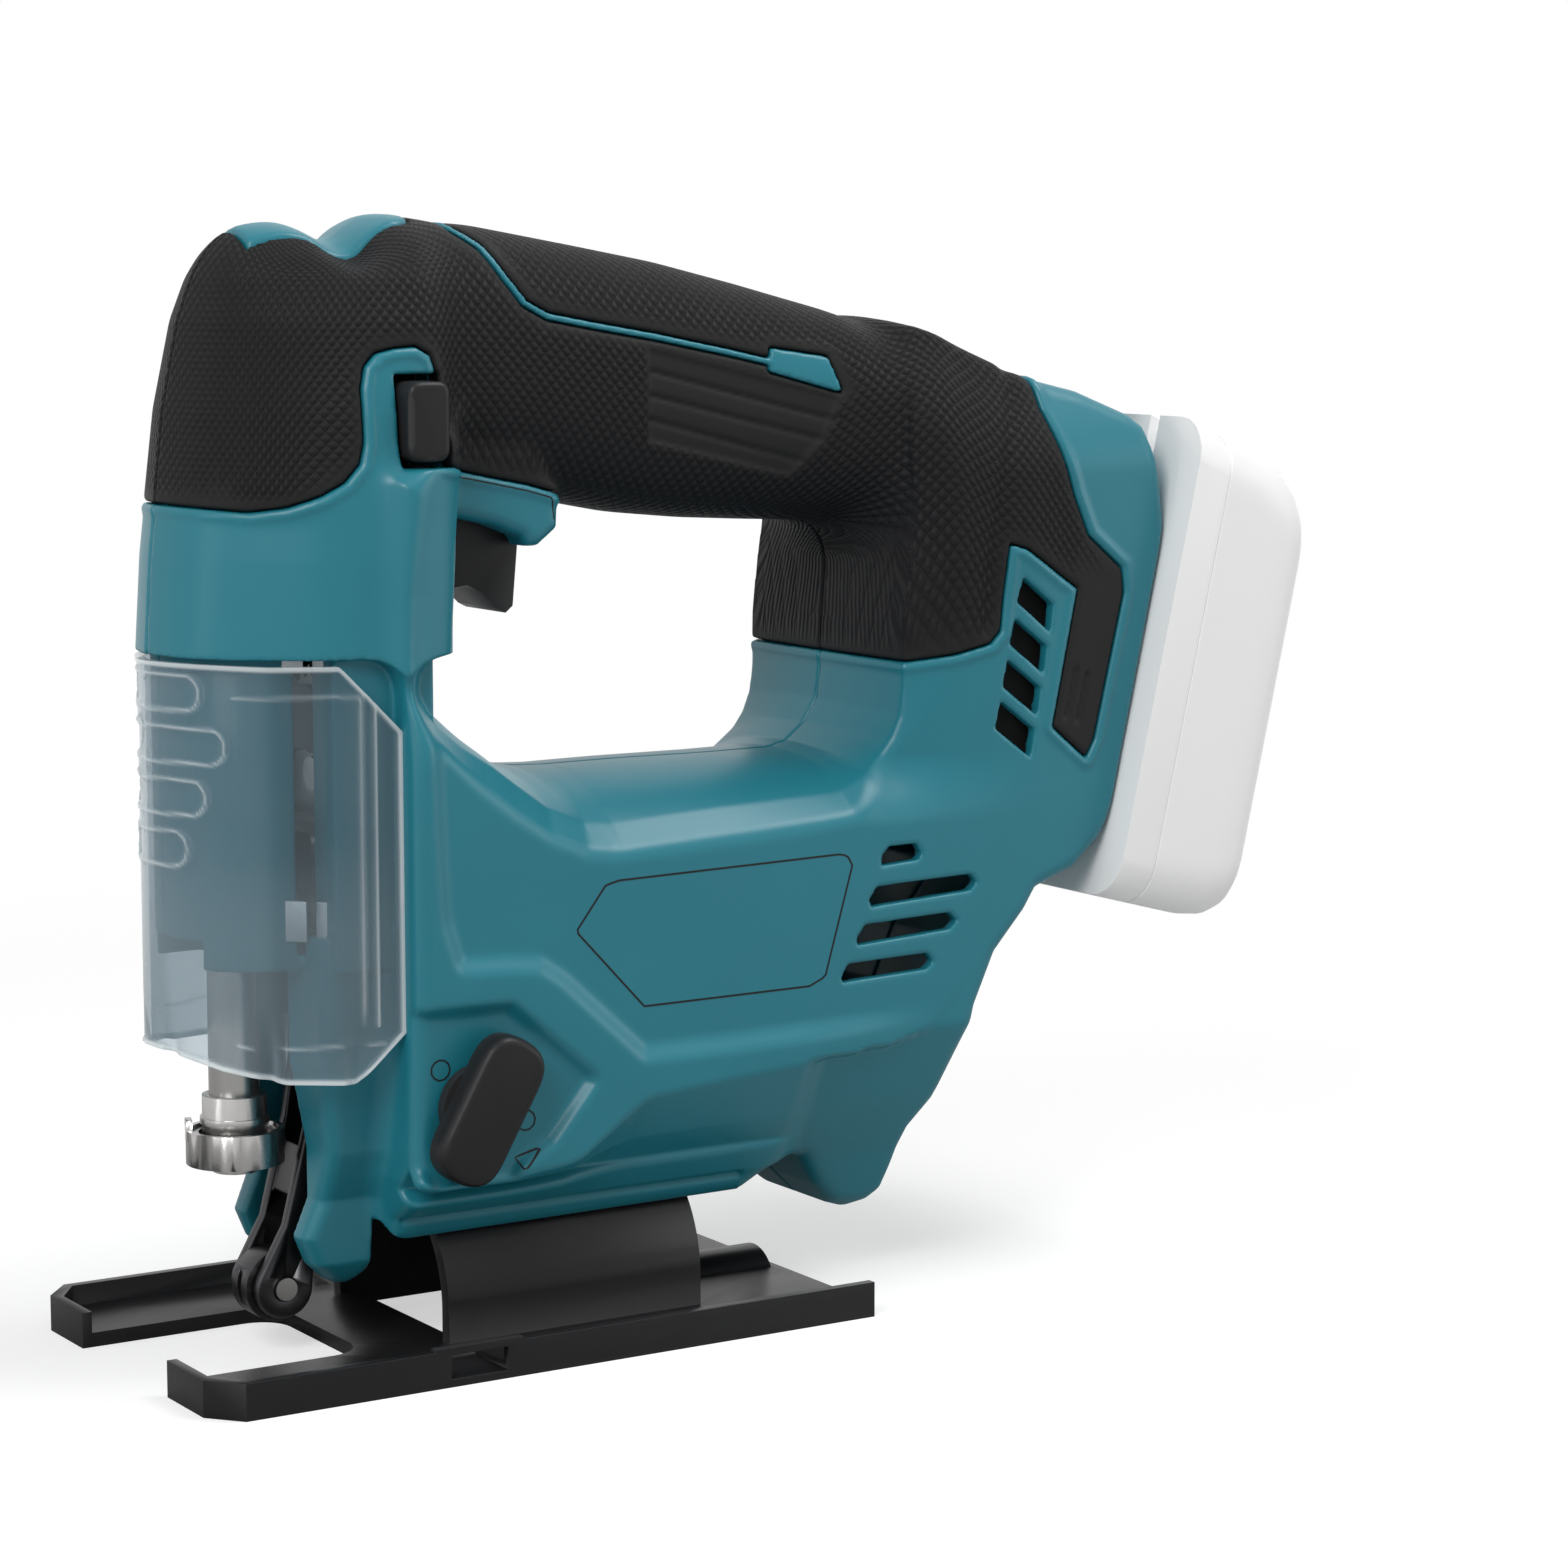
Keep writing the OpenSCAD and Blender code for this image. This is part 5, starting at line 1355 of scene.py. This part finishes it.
bar = eased(tilted([(-6.4, -13.4), (6.4, -13.4), (6.4, 13.4), (-6.4, 13.4)]), 6.4, 0.7)
rows = [(bar, -33.7), (bar, -36.2)] + rolled_end(bar, -36.2, (1.5, 2.2))
finished(stack("knob_grip", sideways(rows), 35), "knob", "black_plastic", "orbital_knob")
hub = eased([(KNOB_X + HUB_R * math.cos(t), KNOB_Z + HUB_R * math.sin(t))
             for t in np.linspace(0, 2 * math.pi, 24, endpoint=False)], 1, 0.8)
finished(stack("knob_hub", sideways([(hub, -31.6), (hub, -33.7)]), 35), "knob", "black_plastic")

# %% Lock button
button = eased([(41.7, 155.8), (49.5, 155.8), (49.5, 169.2), (41.7, 169.2)], 2.4, 0.6)
rows = [(button, -22.5), (button, -28.8)] + rolled_end(button, -28.8, (1.1, 1.1))
finished(stack("lock_pill", sideways(rows), 35), "lock_button", "black_plastic",
         "lock_off_button")
bolt = eased([(42.8, 158.6), (48.6, 158.6), (48.6, 166.4), (42.8, 166.4)], 1.5, 0.6)
rows = [(bolt, -22.5), (bolt, 23.4), (shrink(bolt, 0.5), 23.9)]
finished(stack("lock_bolt", sideways(rows), 35), "lock_button", "black_plastic")

# %% [markdown]
# ## The battery pack
#
# The pack is two off-white mouldings that meet at a seam a little behind the rails. The front
# one holds the slots for the rails and keeps its solid. The back one is a deep tray with a
# rounded floor, and is drawn in the pack's own lean: one axis out of the rear face and one up
# the rails.

# %% Pack


def from_pack(points):
    """Pack millimetres (out, sideways, up) to metres in the frame."""
    n, y, u = np.asarray(points, float).T
    back, up = n * cos_lean + u * sin_lean, u * cos_lean - n * sin_lean
    return placed(np.stack([PACK_X + back, y, PACK_Z + up], 1))


def pack_ring(low, high, half_width, radius):
    """The pack's outline with round corners, seen from the rear."""
    return eased([(-half_width, low), (half_width, low), (half_width, high), (-half_width, high)],
                 radius, 1.5)


RING = 160
rings = []
for n, low, high, half_width, radius in (
        (7.7, -12.6, 76.6, HALF_PACK - 0.7, 8), (8.4, -13.3, 77.2, HALF_PACK, 8.6),
        (16, -13.6, 75.6, HALF_PACK, 9), (22, -13.8, 73.6, HALF_PACK, 9.4),
        (26, -13.4, 71, HALF_PACK - 0.3, 10), (28.6, -12.2, 68.4, HALF_PACK - 1.1, 10),
        (30.4, -10.6, 66, HALF_PACK - 2.6, 9.5), (31.3, -9, 64, HALF_PACK - 4.4, 9),
        (31.5, -7, 62, HALF_PACK - 6.5, 8)):
    ring = pack_ring(low, high, half_width, radius)
    at = np.linspace(0, len(ring), RING, endpoint=False)
    whole = np.arange(len(ring) + 1)
    y, u = (np.interp(at, whole, np.r_[ring[:, i], ring[0, i]]) for i in (0, 1))
    rings.append(np.stack([np.full(RING, n), y, u], 1))
finished(stack("pack_case_back", rings, 30, from_pack), "pack", "pack_shell", "pack_back")

# %% [markdown]
# ## Small solids that stay
#
# The shoe, the trigger, the fork, the rollers and the blade clamp keep their own solids. Their
# hard edges get a small rolled bevel, because no pressed or turned edge is knife sharp and only a
# rolled edge catches the light. The bevel is a modifier, so the solid under it stays as it is.

# %% Rolled edges


def roll_edges(name, width):
    """A bevel on the sharp edges of a solid of the frame, with even shading."""
    obj = NODES[name]
    obj.modifiers.new("weld", "WELD").merge_threshold = 1e-5
    bevel = obj.modifiers.new("rolled", "BEVEL")
    bevel.width, bevel.segments = width * MM, 3
    bevel.limit_method, bevel.angle_limit = "ANGLE", math.radians(32)
    bevel.use_clamp_overlap = True
    bevel.harden_normals = True
    obj.data.shade_smooth()


EDGES_MM = {"shoe": 0.7, "pack_front": 0.6, "orbital_fork": 0.5, "plunger": 0.3,
            "clamp_body": 0.35, "clamp_ring": 0.5, "guide_roller": 0.4, "trigger": 0.9,
            "shoe_clamp": 0.5, "fork_pin": 0.3, "gear_case": 0.5, "rail_plate": 0.4}
for name, width in EDGES_MM.items():
    roll_edges(name, width)
print(len(EDGES_MM), "solids with rolled edges")

# %% Sizes
low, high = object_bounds()
